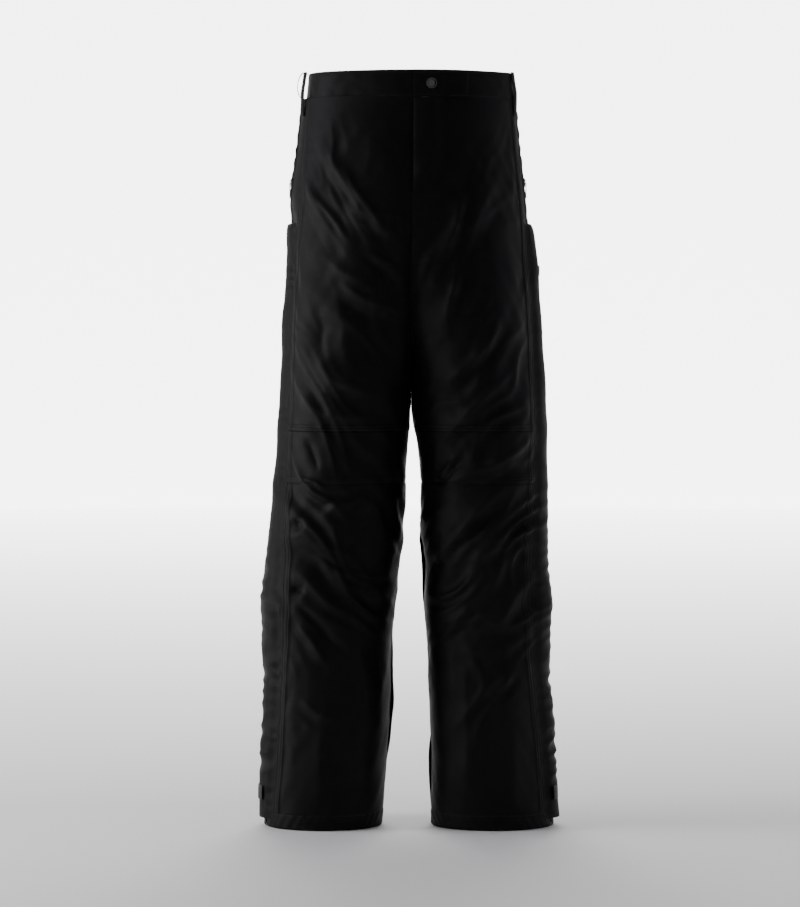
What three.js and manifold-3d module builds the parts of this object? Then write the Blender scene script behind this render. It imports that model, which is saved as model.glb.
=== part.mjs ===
// Bunker pants: over-trousers of smooth black woven cloth with a fly, a waistband and belt loops.
// A zip runs down each leg under a storm flap. Millimetres, +Z up, front towards -Y.
// +X is the wearer's left. The origin is the centre of the waist opening, half way up the waistband.
// Shapes are worked out by height above the hem edge, then the whole group is lowered to the origin.
import Module from 'manifold-3d';
import * as THREE from 'three';

// Driving dimensions.
const outseam = 1075;
const bandHeight = 38;
const bandBottom = outseam - bandHeight;
const crotchHeight = 706;
const kneeSeamTop = 567;
const kneeSeamBottom = 493;
const hemHeight = 22;
const flyBottom = 905;
const flapTop = 862;
const flapBottom = 34;
const zipTop = 968;
const zipMiddle = 450;
const zipBottom = 12;
const clothThickness = 2;
const gap = 0.4;

// Half widths and depths of the cloth, by height above the hem.
const outerEdge = [[0, 202.5], [450, 186], [964, 157], [1075, 150]];
const innerEdge = [[0, 34], [250, 25.5], [598, 2], [crotchHeight, 0.6]];
const frontDepth = [[0, 80], [250, 83], [500, 90], [706, 108], [900, 115], [1037, 109], [1080, 107]];
const backDepth = [[0, 84], [250, 88], [500, 96], [706, 120], [870, 128], [1037, 117], [1080, 115]];
const mergePower = 3.6;

// The seam in front of the side zip, the zip itself and the flap's hinge line, by height.
const frontSeamY = [[0, -36], [98, -46], [268, -57], [493, -47], [694, -38], [862, -30], [1037, -24]];
const zipY = [[0, -22], [450, -20], [964, -14], [1037, -13]];
const hingeTop = new THREE.Vector3(165.3, -30.1, flapTop);
const hingeBottom = new THREE.Vector3(197.6, -41.4, flapBottom);

const shellBlack = { color: 0x0a0a0c, roughness: 0.62, metalness: 0 };
const liningGrey = { color: 0x24262a, roughness: 0.85, metalness: 0 };
const tapeBlack = { color: 0x0d0d0f, roughness: 0.8, metalness: 0 };
const teethBlack = { color: 0x151516, roughness: 0.45, metalness: 0 };
const gunmetal = { color: 0x2b2c30, roughness: 0.35, metalness: 1 };
const silver = { color: 0x9a9a9e, roughness: 0.3, metalness: 1 };

const pants = new THREE.Group();
pants.position.z = -(outseam - bandHeight / 2);

function addMesh(name, geometry, look, parent = pants) {
  const mesh = new THREE.Mesh(geometry, new THREE.MeshStandardMaterial(look));
  mesh.name = name;
  parent.add(mesh);
  return mesh;
}

// The value of a list of [height, value] points at a height, on straight lines between them.
function along(points, height) {
  let i = 1;
  while (i < points.length - 1 && height > points[i][0]) {
    i += 1;
  }
  const [h0, v0] = points[i - 1];
  const [h1, v1] = points[i];
  const t = Math.min(1, Math.max(0, (height - h0) / (h1 - h0)));
  return v0 + (v1 - v0) * t;
}

// Centre and half width of one leg. Above the crotch the two legs run together into one trunk.
function legWidth(height) {
  const outer = along(outerEdge, height);
  if (height <= crotchHeight) {
    const inner = along(innerEdge, height);
    return { centre: (outer + inner) / 2, half: (outer - inner) / 2 };
  }
  const rise = Math.min(1, (height - crotchHeight) / (bandBottom - crotchHeight));
  const merged = (1 - rise) ** mergePower;
  const half = outer / (1 + merged);
  return { centre: merged * half, half };
}

function depthAt(height, angle) {
  return along(Math.sin(angle) < 0 ? frontDepth : backDepth, height);
}

// Outward direction of the cloth at an angle round the leg: 0 is the outer side, negative the front.
function normalAt(height, angle) {
  const { half } = legWidth(height);
  return new THREE.Vector3(Math.cos(angle) / half, Math.sin(angle) / depthAt(height, angle), 0).normalize();
}

// A point on the wearer's left leg, raised off the cloth along its outward direction.
function clothPoint(height, angle, raised) {
  const { centre, half } = legWidth(height);
  const x = centre + half * Math.cos(angle);
  const y = depthAt(height, angle) * Math.sin(angle);
  return new THREE.Vector3(x, y, height).addScaledVector(normalAt(height, angle), raised);
}

// Angles of places given by their distance forward or backward, or sideways on the front.
function angleAtY(height, y) {
  return Math.asin(y / depthAt(height, Math.sign(y)));
}

function frontAngleAtX(height, x) {
  const { centre, half } = legWidth(height);
  return -Math.acos(Math.max(-1, Math.min(1, (x - centre) / half)));
}

// The angle of the centre seam above the crotch and of the inside leg seam below it.
function innerAngle(height, x = 0.3) {
  if (height > crotchHeight) {
    return -frontAngleAtX(height, x);
  }
  return Math.PI - gap / 2 / depthAt(height, 1);
}

// Every layer bends at the same heights, so that layers that lie on each other stay clear.
// The pairs a little apart are where an edge steps sideways: at the crotch, the fly and the zip's end.
const stepped = [crotchHeight, flyBottom, zipTop].flatMap((height) => [height - 1, height + 1]);
const evenly = [92, 162, 232, 302, 372, 442, 530, 598, 652, 734, 764, 800, 840, 872, 936, 1004];
const bends = [...stepped, ...evenly].sort((a, b) => a - b);

function levels(from, to) {
  const margin = 6;
  return [from, ...bends.filter((height) => height > from + margin && height < to - margin), to];
}

// One closed solid from a grid of points: an outer skin, an inner skin and the four rims.
function slab(rows, columns, pointAt) {
  const positions = [];
  for (const layer of [1, 0]) {
    for (let r = 0; r <= rows; r += 1) {
      for (let c = 0; c <= columns; c += 1) {
        positions.push(...pointAt(r, c / columns, layer).toArray());
      }
    }
  }
  const size = (rows + 1) * (columns + 1);
  const at = (r, c, layer) => (1 - layer) * size + r * (columns + 1) + c;
  const index = [];
  const quad = (a, b, c, d) => index.push(a, b, c, a, c, d);
  for (let r = 0; r < rows; r += 1) {
    for (let c = 0; c < columns; c += 1) {
      quad(at(r, c, 1), at(r, c + 1, 1), at(r + 1, c + 1, 1), at(r + 1, c, 1));
      quad(at(r, c, 0), at(r + 1, c, 0), at(r + 1, c + 1, 0), at(r, c + 1, 0));
    }
  }
  for (let r = 0; r < rows; r += 1) {
    quad(at(r, 0, 0), at(r, 0, 1), at(r + 1, 0, 1), at(r + 1, 0, 0));
    quad(at(r, columns, 1), at(r, columns, 0), at(r + 1, columns, 0), at(r + 1, columns, 1));
  }
  for (let c = 0; c < columns; c += 1) {
    quad(at(0, c, 0), at(0, c + 1, 0), at(0, c + 1, 1), at(0, c, 1));
    quad(at(rows, c, 1), at(rows, c + 1, 1), at(rows, c + 1, 0), at(rows, c, 0));
  }
  const geometry = new THREE.BufferGeometry();
  geometry.setAttribute('position', new THREE.Float32BufferAttribute(positions, 3));
  geometry.setIndex(index);
  return facingOut(geometry);
}

// Turns the faces over where a mirrored or reversed shape has them pointing inwards.
function facingOut(geometry) {
  const p = geometry.getAttribute('position');
  const index = geometry.getIndex().array;
  const [a, b, c] = [new THREE.Vector3(), new THREE.Vector3(), new THREE.Vector3()];
  let volume = 0;
  for (let i = 0; i < index.length; i += 3) {
    a.fromBufferAttribute(p, index[i]);
    b.fromBufferAttribute(p, index[i + 1]);
    c.fromBufferAttribute(p, index[i + 2]);
    volume += a.dot(b.cross(c));
  }
  if (volume < 0) {
    for (let i = 0; i < index.length; i += 3) {
      [index[i + 1], index[i + 2]] = [index[i + 2], index[i + 1]];
    }
  }
  geometry.computeVertexNormals();
  return geometry;
}

function mirrored(geometry, side) {
  if (side > 0) {
    return geometry;
  }
  geometry.scale(-1, 1, 1);
  return facingOut(geometry);
}

// A layer of cloth between two edges, from one skin height to another.
// startAngle, endAngle, low and high are functions of the height, and of the place across for the skins.
function clothLayer(side, heights, columns, startAngle, endAngle, low, high) {
  const skins = [low, high];
  const geometry = slab(heights.length - 1, columns, (row, across, layer) => {
    const height = heights[row];
    const start = startAngle(height);
    const angle = start + (endAngle(height) - start) * across;
    const raised = skins[layer];
    return clothPoint(height, angle, typeof raised === 'function' ? raised(height, across) : raised);
  });
  return mirrored(geometry, side);
}

// Panels of one leg. side is 1 on the wearer's left and -1 on the right.
const sides = [['left', 1], ['right', -1]];
const zipHalfSlot = 3.2;
const edgeBesideFlyZip = 4.4;
const centreGap = 0.3;
const panelColumns = 10;
const hemRaised = 0.6;
const hemColumns = 12;

// The front edge at the fly: the right front reaches under the fly, and the left one stops beside the zip.
const flyZipX = 19;
function centreEdge(side, height) {
  if (height < flyBottom) {
    return centreGap;
  }
  return side * flyZipX + edgeBesideFlyZip;
}

function slotEdge(height, towards) {
  const half = height > zipTop ? gap / 2 : zipHalfSlot;
  return angleAtY(height, along(zipY, height) + towards * half);
}

const seamAngle = (height, shift) => angleAtY(height, along(frontSeamY, height) + shift);
const panelTop = bandBottom - gap;
const legLevels = levels(hemHeight + gap, panelTop);

for (const [word, side] of sides) {
  const inner = (height) => -innerAngle(height, centreEdge(side, height));
  const toSeam = (height) => seamAngle(height, -gap / 2);
  const panels = [
    ['front_thigh_panel', levels(kneeSeamTop + gap / 2, panelTop)],
    ['knee_panel', levels(kneeSeamBottom + gap / 2, kneeSeamTop - gap / 2)],
    ['front_shin_panel', levels(hemHeight + gap, kneeSeamBottom - gap / 2)],
  ];
  for (const [name, heights] of panels) {
    addMesh(
      `${name}_${word}`,
      clothLayer(side, heights, panelColumns, inner, toSeam, -clothThickness, 0),
      shellBlack,
    );
  }
  addMesh(
    `side_panel_${word}`,
    clothLayer(
      side, legLevels, 2, (h) => seamAngle(h, gap / 2), (h) => slotEdge(h, -1), -clothThickness, 0,
    ),
    shellBlack,
  );
  addMesh(
    `back_panel_${word}`,
    clothLayer(side, legLevels, 12, (h) => slotEdge(h, 1), (h) => innerAngle(h), -clothThickness, 0),
    shellBlack,
  );
  const hems = [
    ['front_hem_band', (h) => -innerAngle(h), (h) => slotEdge(h, -1)],
    ['back_hem_band', (h) => slotEdge(h, 1), (h) => innerAngle(h)],
  ];
  for (const [name, start, end] of hems) {
    addMesh(
      `${name}_${word}`,
      clothLayer(side, [0, hemHeight], hemColumns, start, end, -clothThickness, hemRaised),
      shellBlack,
    );
  }
}

// Thin linings, one to a leg, open in front for the fly.
const liningLevels = levels(30, bandBottom - 3);
const liningFlyEdge = { 1: 50, '-1': 10 };
const liningSkins = [-7.4, -6.2];
for (const [word, side] of sides) {
  const frontEdge = (height) => (height < flyBottom ? 0.6 : liningFlyEdge[side]);
  addMesh(
    `leg_lining_${word}`,
    clothLayer(
      side,
      liningLevels,
      16,
      (h) => -innerAngle(h, frontEdge(h)),
      (h) => innerAngle(h, 0.6),
      ...liningSkins,
    ),
    liningGrey,
  );
}

// Waistband: a right piece that runs on under the tab, a left piece, and a facing inside.
// Above the crotch one ellipse goes all round, so an angle past the centre front is the right side.
const bandLevels = [bandBottom, outseam];
const bandSkins = [-1.4, 1];
const centreFront = -Math.PI / 2;
const centreBack = Math.PI / 2;
const underlapEnd = 40;
const hingeX = 44.5;
const tabEnd = 80;
const tabEdge = 2;
const backSeam = 0.003;
const facingSkins = [-4.4, -3.2];
const facingStop = 0.36;
const tabRaised = 1.4;
const flapThickness = 1.8;
const frontAngleOfBand = (x) => frontAngleAtX(outseam, x);
const band = (from, to, columns, low, high, heights = bandLevels) =>
  clothLayer(1, heights, columns, () => from, () => to, low, high);
addMesh(
  'waistband_right',
  band(frontAngleOfBand(underlapEnd), centreFront - Math.PI + backSeam, 16, ...bandSkins),
  shellBlack,
);
addMesh(
  'waistband_left',
  band(frontAngleOfBand(hingeX - 2), centreBack - backSeam, 14, ...bandSkins),
  shellBlack,
);
addMesh(
  'waistband_facing',
  band(
    frontAngleOfBand(hingeX), centreFront - 2 * Math.PI + facingStop, 26, ...facingSkins,
    [bandBottom + 2, outseam - 3],
  ),
  liningGrey,
);
addMesh(
  'waistband_tab_root',
  band(
    frontAngleOfBand(hingeX + gap), frontAngleOfBand(tabEnd), 3, tabRaised, tabRaised + flapThickness,
  ),
  shellBlack,
);

// The fly: a tab on the waistband and a placket below it swing together on the line at hingeX.
const placketRaised = 1;
const placketArch = 5.6;
const archPower = 0.6;
const arch = (across) => Math.sin(Math.PI * Math.min(0.999, Math.max(0.001, across))) ** archPower;
const placketLow = (height, across) => placketRaised + placketArch * arch(across);
addMesh(
  'waistband_tab',
  clothLayer(
    1,
    bandLevels,
    4,
    (h) => frontAngleAtX(h, tabEdge),
    (h) => frontAngleAtX(h, hingeX),
    tabRaised,
    tabRaised + flapThickness,
  ),
  shellBlack,
);
addMesh(
  'fly_placket',
  clothLayer(
    1,
    levels(flyBottom - 8, bandBottom - 1),
    6,
    (h) => frontAngleAtX(h, tabEdge),
    (h) => frontAngleAtX(h, hingeX),
    placketLow,
    (h, across) => placketLow(h, across) + flapThickness,
  ),
  shellBlack,
);
addMesh(
  'fly_underlap',
  clothLayer(
    1,
    levels(flyBottom + 2, bandBottom - 3),
    4,
    (h) => frontAngleAtX(h, -6),
    (h) => frontAngleAtX(h, 46),
    ...liningSkins,
  ),
  shellBlack,
);

// Zips: a tape behind the cloth and a row of teeth in the slot between the cloth edges.
const tapeSkins = [-5.2, -4.2];
const teethSkins = [-2.2, 0.2];
const tapeHalf = 10;
const teethHalf = 2.7;
addMesh(
  'fly_zip_tape',
  clothLayer(
    1,
    levels(flyBottom + 2, bandBottom - 3),
    2,
    (h) => frontAngleAtX(h, flyZipX - tapeHalf),
    (h) => frontAngleAtX(h, flyZipX + tapeHalf),
    ...tapeSkins,
  ),
  tapeBlack,
);
addMesh(
  'fly_zip_teeth',
  clothLayer(
    1,
    levels(flyBottom + 4, bandBottom - 4),
    1,
    (h) => frontAngleAtX(h, flyZipX - teethHalf),
    (h) => frontAngleAtX(h, flyZipX + teethHalf),
    ...teethSkins,
  ),
  teethBlack,
);
const zipLevels = levels(zipBottom, zipTop - 4);
const zipStrip = (side, half, skins) =>
  clothLayer(
    side,
    zipLevels,
    1,
    (h) => angleAtY(h, along(zipY, h) - half),
    (h) => angleAtY(h, along(zipY, h) + half),
    ...skins,
  );
for (const [word, side] of sides) {
  addMesh(`side_zip_tape_${word}`, zipStrip(side, tapeHalf, tapeSkins), tapeBlack);
  addMesh(`side_zip_teeth_${word}`, zipStrip(side, teethHalf, teethSkins), teethBlack);
}

// Storm flaps. The front edge of each follows its straight hinge line, and the rest arches over the zip.
const flapFreeY = 20;
const flapArch = 7.6;
const flapEdgeLift = 3.6;
const hingeAt = (height) =>
  hingeBottom.clone().lerp(hingeTop, (height - flapBottom) / (flapTop - flapBottom));

// The angle and the height off the cloth of the hinge line.
function hingeOnCloth(height) {
  const target = hingeAt(height);
  let y = target.y;
  let raised = 0;
  for (let i = 0; i < 6; i += 1) {
    const angle = angleAtY(height, y);
    const normal = normalAt(height, angle);
    raised = (target.x - clothPoint(height, angle, 0).x) / normal.x;
    y = target.y - raised * normal.y;
  }
  return { angle: angleAtY(height, y), raised };
}

function flapLow(height, across) {
  const root = hingeOnCloth(height).raised - flapThickness;
  const base = root + (flapEdgeLift - root) * across;
  return base + (flapArch - base) * arch(across);
}

const flapLevels = levels(flapBottom, flapTop);
for (const [word, side] of sides) {
  addMesh(
    `storm_flap_${word}`,
    clothLayer(
      side,
      flapLevels,
      6,
      (h) => hingeOnCloth(h).angle,
      (h) => angleAtY(h, flapFreeY),
      flapLow,
      (h, across) => flapLow(h, across) + flapThickness,
    ),
    shellBlack,
  );
}

// Hem tabs lie over the flap's lower corner and snap to the back of the leg.
const tabLevels = [38, 48, 58];
const tabStartY = -27;
const tabEndY = 36;
const tabLift = 9.8;
const tabThickness = 1.6;
for (const [word, side] of sides) {
  addMesh(
    `hem_tab_${word}`,
    clothLayer(
      side,
      tabLevels,
      5,
      (h) => angleAtY(h, tabStartY),
      (h) => angleAtY(h, tabEndY),
      tabLift,
      tabLift + tabThickness,
    ),
    tapeBlack,
  );
}

// Small hardware is made flat, with its own +Z away from the cloth and its +Y up the leg, then set on it.
function setOnCloth(mesh, side, height, angle, raised, up) {
  const z = normalAt(height, angle).normalize();
  const rough = up ? up.clone() : new THREE.Vector3(0, 0, 1);
  const y = rough.addScaledVector(z, -rough.dot(z)).normalize();
  const x = y.clone().cross(z);
  const place = clothPoint(height, angle, raised);
  if (side < 0) {
    for (const v of [x, y, z, place]) {
      v.x *= -1;
    }
    x.negate();
  }
  mesh.quaternion.setFromRotationMatrix(new THREE.Matrix4().makeBasis(x, y, z));
  mesh.position.copy(place);
}

// Snap fasteners: a domed cap with a rolled rim on the outer layer, and a stud on the layer below.
const roundSides = 18;
function turned(profile) {
  const geometry = new THREE.LatheGeometry(profile.map(([r, z]) => new THREE.Vector2(r, z)), roundSides);
  return closed(geometry.rotateX(Math.PI / 2));
}

// Welds the seam and the poles of a revolved shape, so that it is one closed body.
function closed(geometry) {
  const p = geometry.getAttribute('position');
  const keys = new Map();
  const positions = [];
  const renumber = [];
  for (let i = 0; i < p.count; i += 1) {
    const v = [p.getX(i), p.getY(i), p.getZ(i)];
    const key = v.map((n) => Math.round(n * 1e4)).join();
    if (!keys.has(key)) {
      keys.set(key, positions.length / 3);
      positions.push(...v);
    }
    renumber.push(keys.get(key));
  }
  const index = [];
  const old = geometry.getIndex().array;
  for (let i = 0; i < old.length; i += 3) {
    const [a, b, c] = [renumber[old[i]], renumber[old[i + 1]], renumber[old[i + 2]]];
    if (a !== b && b !== c && c !== a) {
      index.push(a, b, c);
    }
  }
  const welded = new THREE.BufferGeometry();
  welded.setAttribute('position', new THREE.Float32BufferAttribute(positions, 3));
  welded.setIndex(index);
  return facingOut(welded);
}

const capProfile = (r) => [[0, 0], [r, 0], [r, 1.2], [r * 0.8, 2], [r * 0.45, 1.7], [0, 1.9]];
const studProfile = (r, height) => [[0, 0], [r, 0], [r, 0.8], [r * 0.5, 1.2], [r * 0.5, height], [0, height]];

const studRaised = 0.8;
function addSnap(name, side, height, angle, capRadius, capRaised, studHeight) {
  const cap = addMesh(`${name}_cap`, turned(capProfile(capRadius)), silver);
  setOnCloth(cap, side, height, angle, capRaised);
  const stud = addMesh(`${name}_stud`, turned(studProfile(capRadius * 0.8, studHeight)), silver);
  setOnCloth(stud, side, height, angle, studRaised);
}

const waistSnapX = 28;
const bandMiddle = bandBottom + bandHeight / 2;
const waistSnapAngle = frontAngleAtX(bandMiddle, waistSnapX);
const snapRadius = 7.5;
const waistCap = addMesh('waist_snap_cap', turned(capProfile(snapRadius)), gunmetal);
setOnCloth(waistCap, 1, bandMiddle, waistSnapAngle, 3.8);
const waistStud = addMesh('waist_snap_stud', turned([[0, 0], [5, 0], [5, 0.7], [0, 0.7]]), gunmetal);
setOnCloth(waistStud, 1, bandMiddle, waistSnapAngle, -3.3);

const flapSnapHeight = 795;
const flapSnapY = 7;
const tabSnapHeight = 48;
const tabSnapY = 28;
const hemSnapRadius = 6;
for (const [word, side] of sides) {
  addSnap(
    `flap_snap_${word}`, side, flapSnapHeight, angleAtY(flapSnapHeight, flapSnapY), snapRadius, 9.9, 4.6,
  );
  addSnap(
    `hem_snap_${word}`, side, tabSnapHeight, angleAtY(tabSnapHeight, tabSnapY), hemSnapRadius, 11.9, 6.5,
  );
}

// Belt loops: a strip of tape sewn down at both ends, slack over the waistband between.
const loopProfile = [
  [1016, 0.4], [1024, 0.4], [1031, 4.2], [1050, 4.8], [1064, 4.2], [1070, 1.6], [outseam, 1.6],
];
const loopHalfWidth = 7;
const loopThickness = 1.6;
const beltLoops = [
  ['belt_loop_side_left', 1, -0.27],
  ['belt_loop_side_right', -1, -0.27],
  ['belt_loop_back_left', 1, 0.85],
  ['belt_loop_back_right', -1, 0.85],
  ['belt_loop_centre_back', 1, centreBack],
];
for (const [name, side, angle] of beltLoops) {
  const speed = clothPoint(outseam, angle + 0.01, 0).distanceTo(clothPoint(outseam, angle, 0)) / 0.01;
  const half = loopHalfWidth / speed;
  const slack = (height) => along(loopProfile, height);
  addMesh(
    name,
    clothLayer(
      side,
      loopProfile.map(([height]) => height),
      2,
      () => angle - half,
      () => angle + half,
      slack,
      (height) => slack(height) + loopThickness,
    ),
    tapeBlack,
  );
}

// Hanger loop: a narrow tape from the top of the waistband over the right side.
const hangerWidth = 4;
const hangerThickness = 1.2;
const hangerRoute = new THREE.CatmullRomCurve3([
  new THREE.Vector3(-146.5, 0, 1076.6),
  new THREE.Vector3(-154.5, 0, 1078),
  new THREE.Vector3(-161, 0, 1068),
  new THREE.Vector3(-163, 0, 1056),
  new THREE.Vector3(-160, 0, 1046),
  new THREE.Vector3(-154.2, 0, 1040.5),
]);
const hangerSteps = 14;
addMesh(
  'hanger_loop',
  slab(hangerSteps, 1, (row, across, layer) => {
    const t = row / hangerSteps;
    const tangent = hangerRoute.getTangent(t);
    const outward = new THREE.Vector3(0, 1, 0).cross(tangent);
    const point = hangerRoute.getPoint(t).addScaledVector(outward, (layer - 0.5) * hangerThickness);
    point.y = (across - 0.5) * hangerWidth;
    return point;
  }),
  tapeBlack,
);

// Zip sliders: a waisted plate over the teeth with an arched bridge, and a pull whose top bar turns
// inside the bridge. The pull hangs down from that bar.
const sliderLength = 13;
const sliderHalf = 4.6;
const plateThickness = 1.1;
const bridgeEnd = 2;
const bridgeHole = 1.2;
const bridgeHeight = 2.4;
const holeHeight = 1.7;
const bridgeWidth = 1.8;
const pullThickness = 0.8;
const plateRaised = 2;
const pivotRaised = plateRaised + plateThickness + holeHeight / 2;

const wasm = await Module();
wasm.setup();

function solid(geometry) {
  return new wasm.Manifold(new wasm.Mesh({
    numProp: 3,
    vertProperties: geometry.getAttribute('position').array,
    triVerts: new Uint32Array(geometry.getIndex().array),
  }));
}

function joined(first, second) {
  const mesh = solid(first).add(solid(second)).getMesh();
  const geometry = new THREE.BufferGeometry();
  geometry.setAttribute('position', new THREE.BufferAttribute(mesh.vertProperties, 3));
  geometry.setIndex([...mesh.triVerts]);
  return facingOut(geometry);
}

function extruded(outline, depth) {
  const geometry = new THREE.ExtrudeGeometry(outline, { depth, bevelEnabled: false, curveSegments: 3 });
  geometry.setIndex([...Array(geometry.getAttribute('position').count).keys()]);
  return closed(geometry);
}

function rectangle(path, x0, y0, x1, y1) {
  path.moveTo(x0, y0);
  path.lineTo(x1, y0);
  path.lineTo(x1, y1);
  path.lineTo(x0, y1);
  path.closePath();
  return path;
}

function sliderGeometry() {
  const outline = new THREE.Shape();
  const end = sliderLength / 2;
  outline.moveTo(-sliderHalf, end);
  outline.lineTo(-sliderHalf, 1);
  outline.quadraticCurveTo(-sliderHalf + 0.6, -3, -sliderHalf + 1.4, -end);
  outline.lineTo(sliderHalf - 1.4, -end);
  outline.quadraticCurveTo(sliderHalf - 0.6, -3, sliderHalf, 1);
  outline.lineTo(sliderHalf, end);
  outline.closePath();
  const side = rectangle(new THREE.Shape(), -bridgeEnd, -0.5, bridgeEnd, bridgeHeight);
  side.holes.push(rectangle(new THREE.Path(), -bridgeHole, 0, bridgeHole, holeHeight));
  const bridge = extruded(side, bridgeWidth);
  bridge.translate(0, 0, -bridgeWidth / 2);
  bridge.rotateX(Math.PI / 2);
  bridge.rotateZ(Math.PI / 2);
  bridge.translate(0, 0, plateThickness);
  return joined(extruded(outline, plateThickness), bridge);
}

function pullGeometry(length) {
  const outline = new THREE.Shape();
  const bar = pullThickness / 2;
  outline.moveTo(-2.6, bar);
  outline.lineTo(-1.8, -length + 3);
  outline.quadraticCurveTo(-2.8, -length, 0, -length);
  outline.quadraticCurveTo(2.8, -length, 1.8, -length + 3);
  outline.lineTo(2.6, bar);
  outline.closePath();
  outline.holes.push(rectangle(new THREE.Path(), -1.4, -3.6, 1.4, -bar));
  const geometry = extruded(outline, pullThickness);
  geometry.translate(0, 0, -bar);
  return geometry;
}

// The straight path of a slider between two heights on the zip, on the wearer's left leg.
function zipPath(low, high, placeAt) {
  return clothPoint(high, placeAt(high), 0).sub(clothPoint(low, placeAt(low), 0)).normalize();
}

function addSlider(name, side, height, angle, up, length, look) {
  const slider = addMesh(`${name}_slider`, sliderGeometry(), look);
  setOnCloth(slider, side, height, angle, plateRaised, up);
  const pull = addMesh(`${name}_pull`, pullGeometry(length), look);
  setOnCloth(pull, side, height, angle, pivotRaised, up);
}

const upperSliderHeight = 920;
const lowerSliderHeight = 26;
const flySliderHeight = 1022;
const sideZipAngle = (height) => angleAtY(height, along(zipY, height));
const flyZipAngle = (height) => frontAngleAtX(height, flyZipX);
const upperPath = zipPath(zipMiddle, zipTop - 4, sideZipAngle);
const lowerPath = zipPath(lowerSliderHeight, zipMiddle, sideZipAngle);
const flyPath = zipPath(flyBottom, flySliderHeight, flyZipAngle);
addSlider('fly', 1, flySliderHeight, flyZipAngle(flySliderHeight), flyPath, 12, gunmetal);
for (const [word, side] of sides) {
  addSlider(
    `upper_zip_${word}`, side, upperSliderHeight, sideZipAngle(upperSliderHeight), upperPath, 22, gunmetal,
  );
  addSlider(
    `lower_zip_${word}`, side, lowerSliderHeight, sideZipAngle(lowerSliderHeight), lowerPath, 16, gunmetal,
  );
}

export default pants;
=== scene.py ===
import math
from types import SimpleNamespace

import bpy
import numpy as np
from mathutils import Matrix, Vector


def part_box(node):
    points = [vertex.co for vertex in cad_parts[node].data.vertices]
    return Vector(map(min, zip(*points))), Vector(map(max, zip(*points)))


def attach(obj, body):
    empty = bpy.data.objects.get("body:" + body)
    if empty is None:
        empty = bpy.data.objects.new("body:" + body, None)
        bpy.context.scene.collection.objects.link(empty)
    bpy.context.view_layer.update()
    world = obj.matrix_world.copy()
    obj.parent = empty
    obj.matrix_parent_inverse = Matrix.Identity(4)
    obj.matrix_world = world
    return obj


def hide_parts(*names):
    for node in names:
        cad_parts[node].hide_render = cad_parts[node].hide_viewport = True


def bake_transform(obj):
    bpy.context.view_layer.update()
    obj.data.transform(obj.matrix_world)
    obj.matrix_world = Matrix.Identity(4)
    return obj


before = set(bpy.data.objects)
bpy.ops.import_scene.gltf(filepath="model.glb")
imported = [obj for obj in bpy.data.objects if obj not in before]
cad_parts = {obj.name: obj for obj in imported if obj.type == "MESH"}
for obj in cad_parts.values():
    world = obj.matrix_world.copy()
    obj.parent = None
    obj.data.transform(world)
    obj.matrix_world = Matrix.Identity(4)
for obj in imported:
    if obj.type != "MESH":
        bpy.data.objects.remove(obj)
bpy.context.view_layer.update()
bpy.ops.object.select_all(action="DESELECT")

# --- The cloth body -------------------------------------------------------------------------
# Each leg is a tube of cloth, wider at the thigh than at the knee, and the two run together above
# the crotch into one trunk. Every panel, flap and tape below is laid on this one surface.
hem_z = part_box("back_hem_band_left")[0].z
waist_top = 1.075
band_bottom = 1.037
crotch = 0.706
outer_edge = {
    1: ((0, 0.205), (0.03, 0.201), (0.06, 0.199), (0.12, 0.198), (0.18, 0.193), (0.25, 0.190), (0.325, 0.192),
        (0.38, 0.188), (0.466, 0.188), (0.54, 0.187), (0.6, 0.184), (0.7, 0.178), (0.8, 0.172),
        (0.862, 0.166), (0.93, 0.160), (0.97, 0.156), (1.037, 0.150), (waist_top, 0.146)),
    -1: ((0, 0.211), (0.03, 0.210), (0.06, 0.208), (0.12, 0.207), (0.18, 0.202), (0.25, 0.204), (0.29, 0.206),
         (0.325, 0.208), (0.4, 0.197), (0.466, 0.192), (0.52, 0.185), (0.6, 0.180), (0.7, 0.175),
         (0.8, 0.170), (0.862, 0.1705), (0.893, 0.174), (0.922, 0.171), (0.96, 0.165), (1.037, 0.157),
         (waist_top, 0.153)),
}
inner_edge = {
    1: ((0, 0.030), (0.09, 0.026), (0.176, 0.0275), (0.263, 0.025), (0.32, 0.019), (0.38, 0.018),
        (0.42, 0.012), (0.48, 0.0165), (0.51, 0.0165), (0.54, 0.012), (0.57, 0.006), (0.596, 0)),
    -1: ((0, 0.043), (0.03, 0.039), (0.09, 0.036), (0.132, 0.032), (0.176, 0.0275), (0.263, 0.026),
         (0.32, 0.022), (0.38, 0.018), (0.42, 0.0116), (0.466, 0.0087), (0.54, 0.0043), (0.57, 0.0015),
         (0.596, 0)),
}
front_depth = ((0, 0.080), (0.25, 0.083), (0.5, 0.090), (crotch, 0.108), (0.9, 0.115), (band_bottom, 0.109))
back_depth = ((0, 0.084), (0.25, 0.088), (0.5, 0.096), (crotch, 0.120), (0.87, 0.128), (band_bottom, 0.117))
# Above the height where the legs part they press together, less and less deeply, up to the waist.
legs_part = 0.596
merging = ((legs_part, 1), (0.62, 0.968), (0.66, 0.866), (crotch, 0.733), (0.76, 0.572), (0.8, 0.436),
           (0.85, 0.28), (0.905, 0.17), (0.97, 0.06), (band_bottom, 0))
blur = np.linspace(-0.018, 0.018, 7)
sides = (("left", 1), ("right", -1))


def along(points, height):
    """The value of a list of (height, value) points, rounded off where the list bends."""
    heights, values = zip(*points)
    return sum(np.interp(height + step, heights, values) for step in blur) / len(blur)


def leg_width(side, height):
    """The centre and half width of one leg at a height above the hem."""
    outer, inner = along(outer_edge[side], height), along(inner_edge[side], height)
    merged = np.interp(height, *zip(*merging))
    above = height > legs_part
    half = np.where(above, outer / (1 + merged), (outer - inner) / 2)
    return np.where(above, merged * half, (outer + inner) / 2), half


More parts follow.
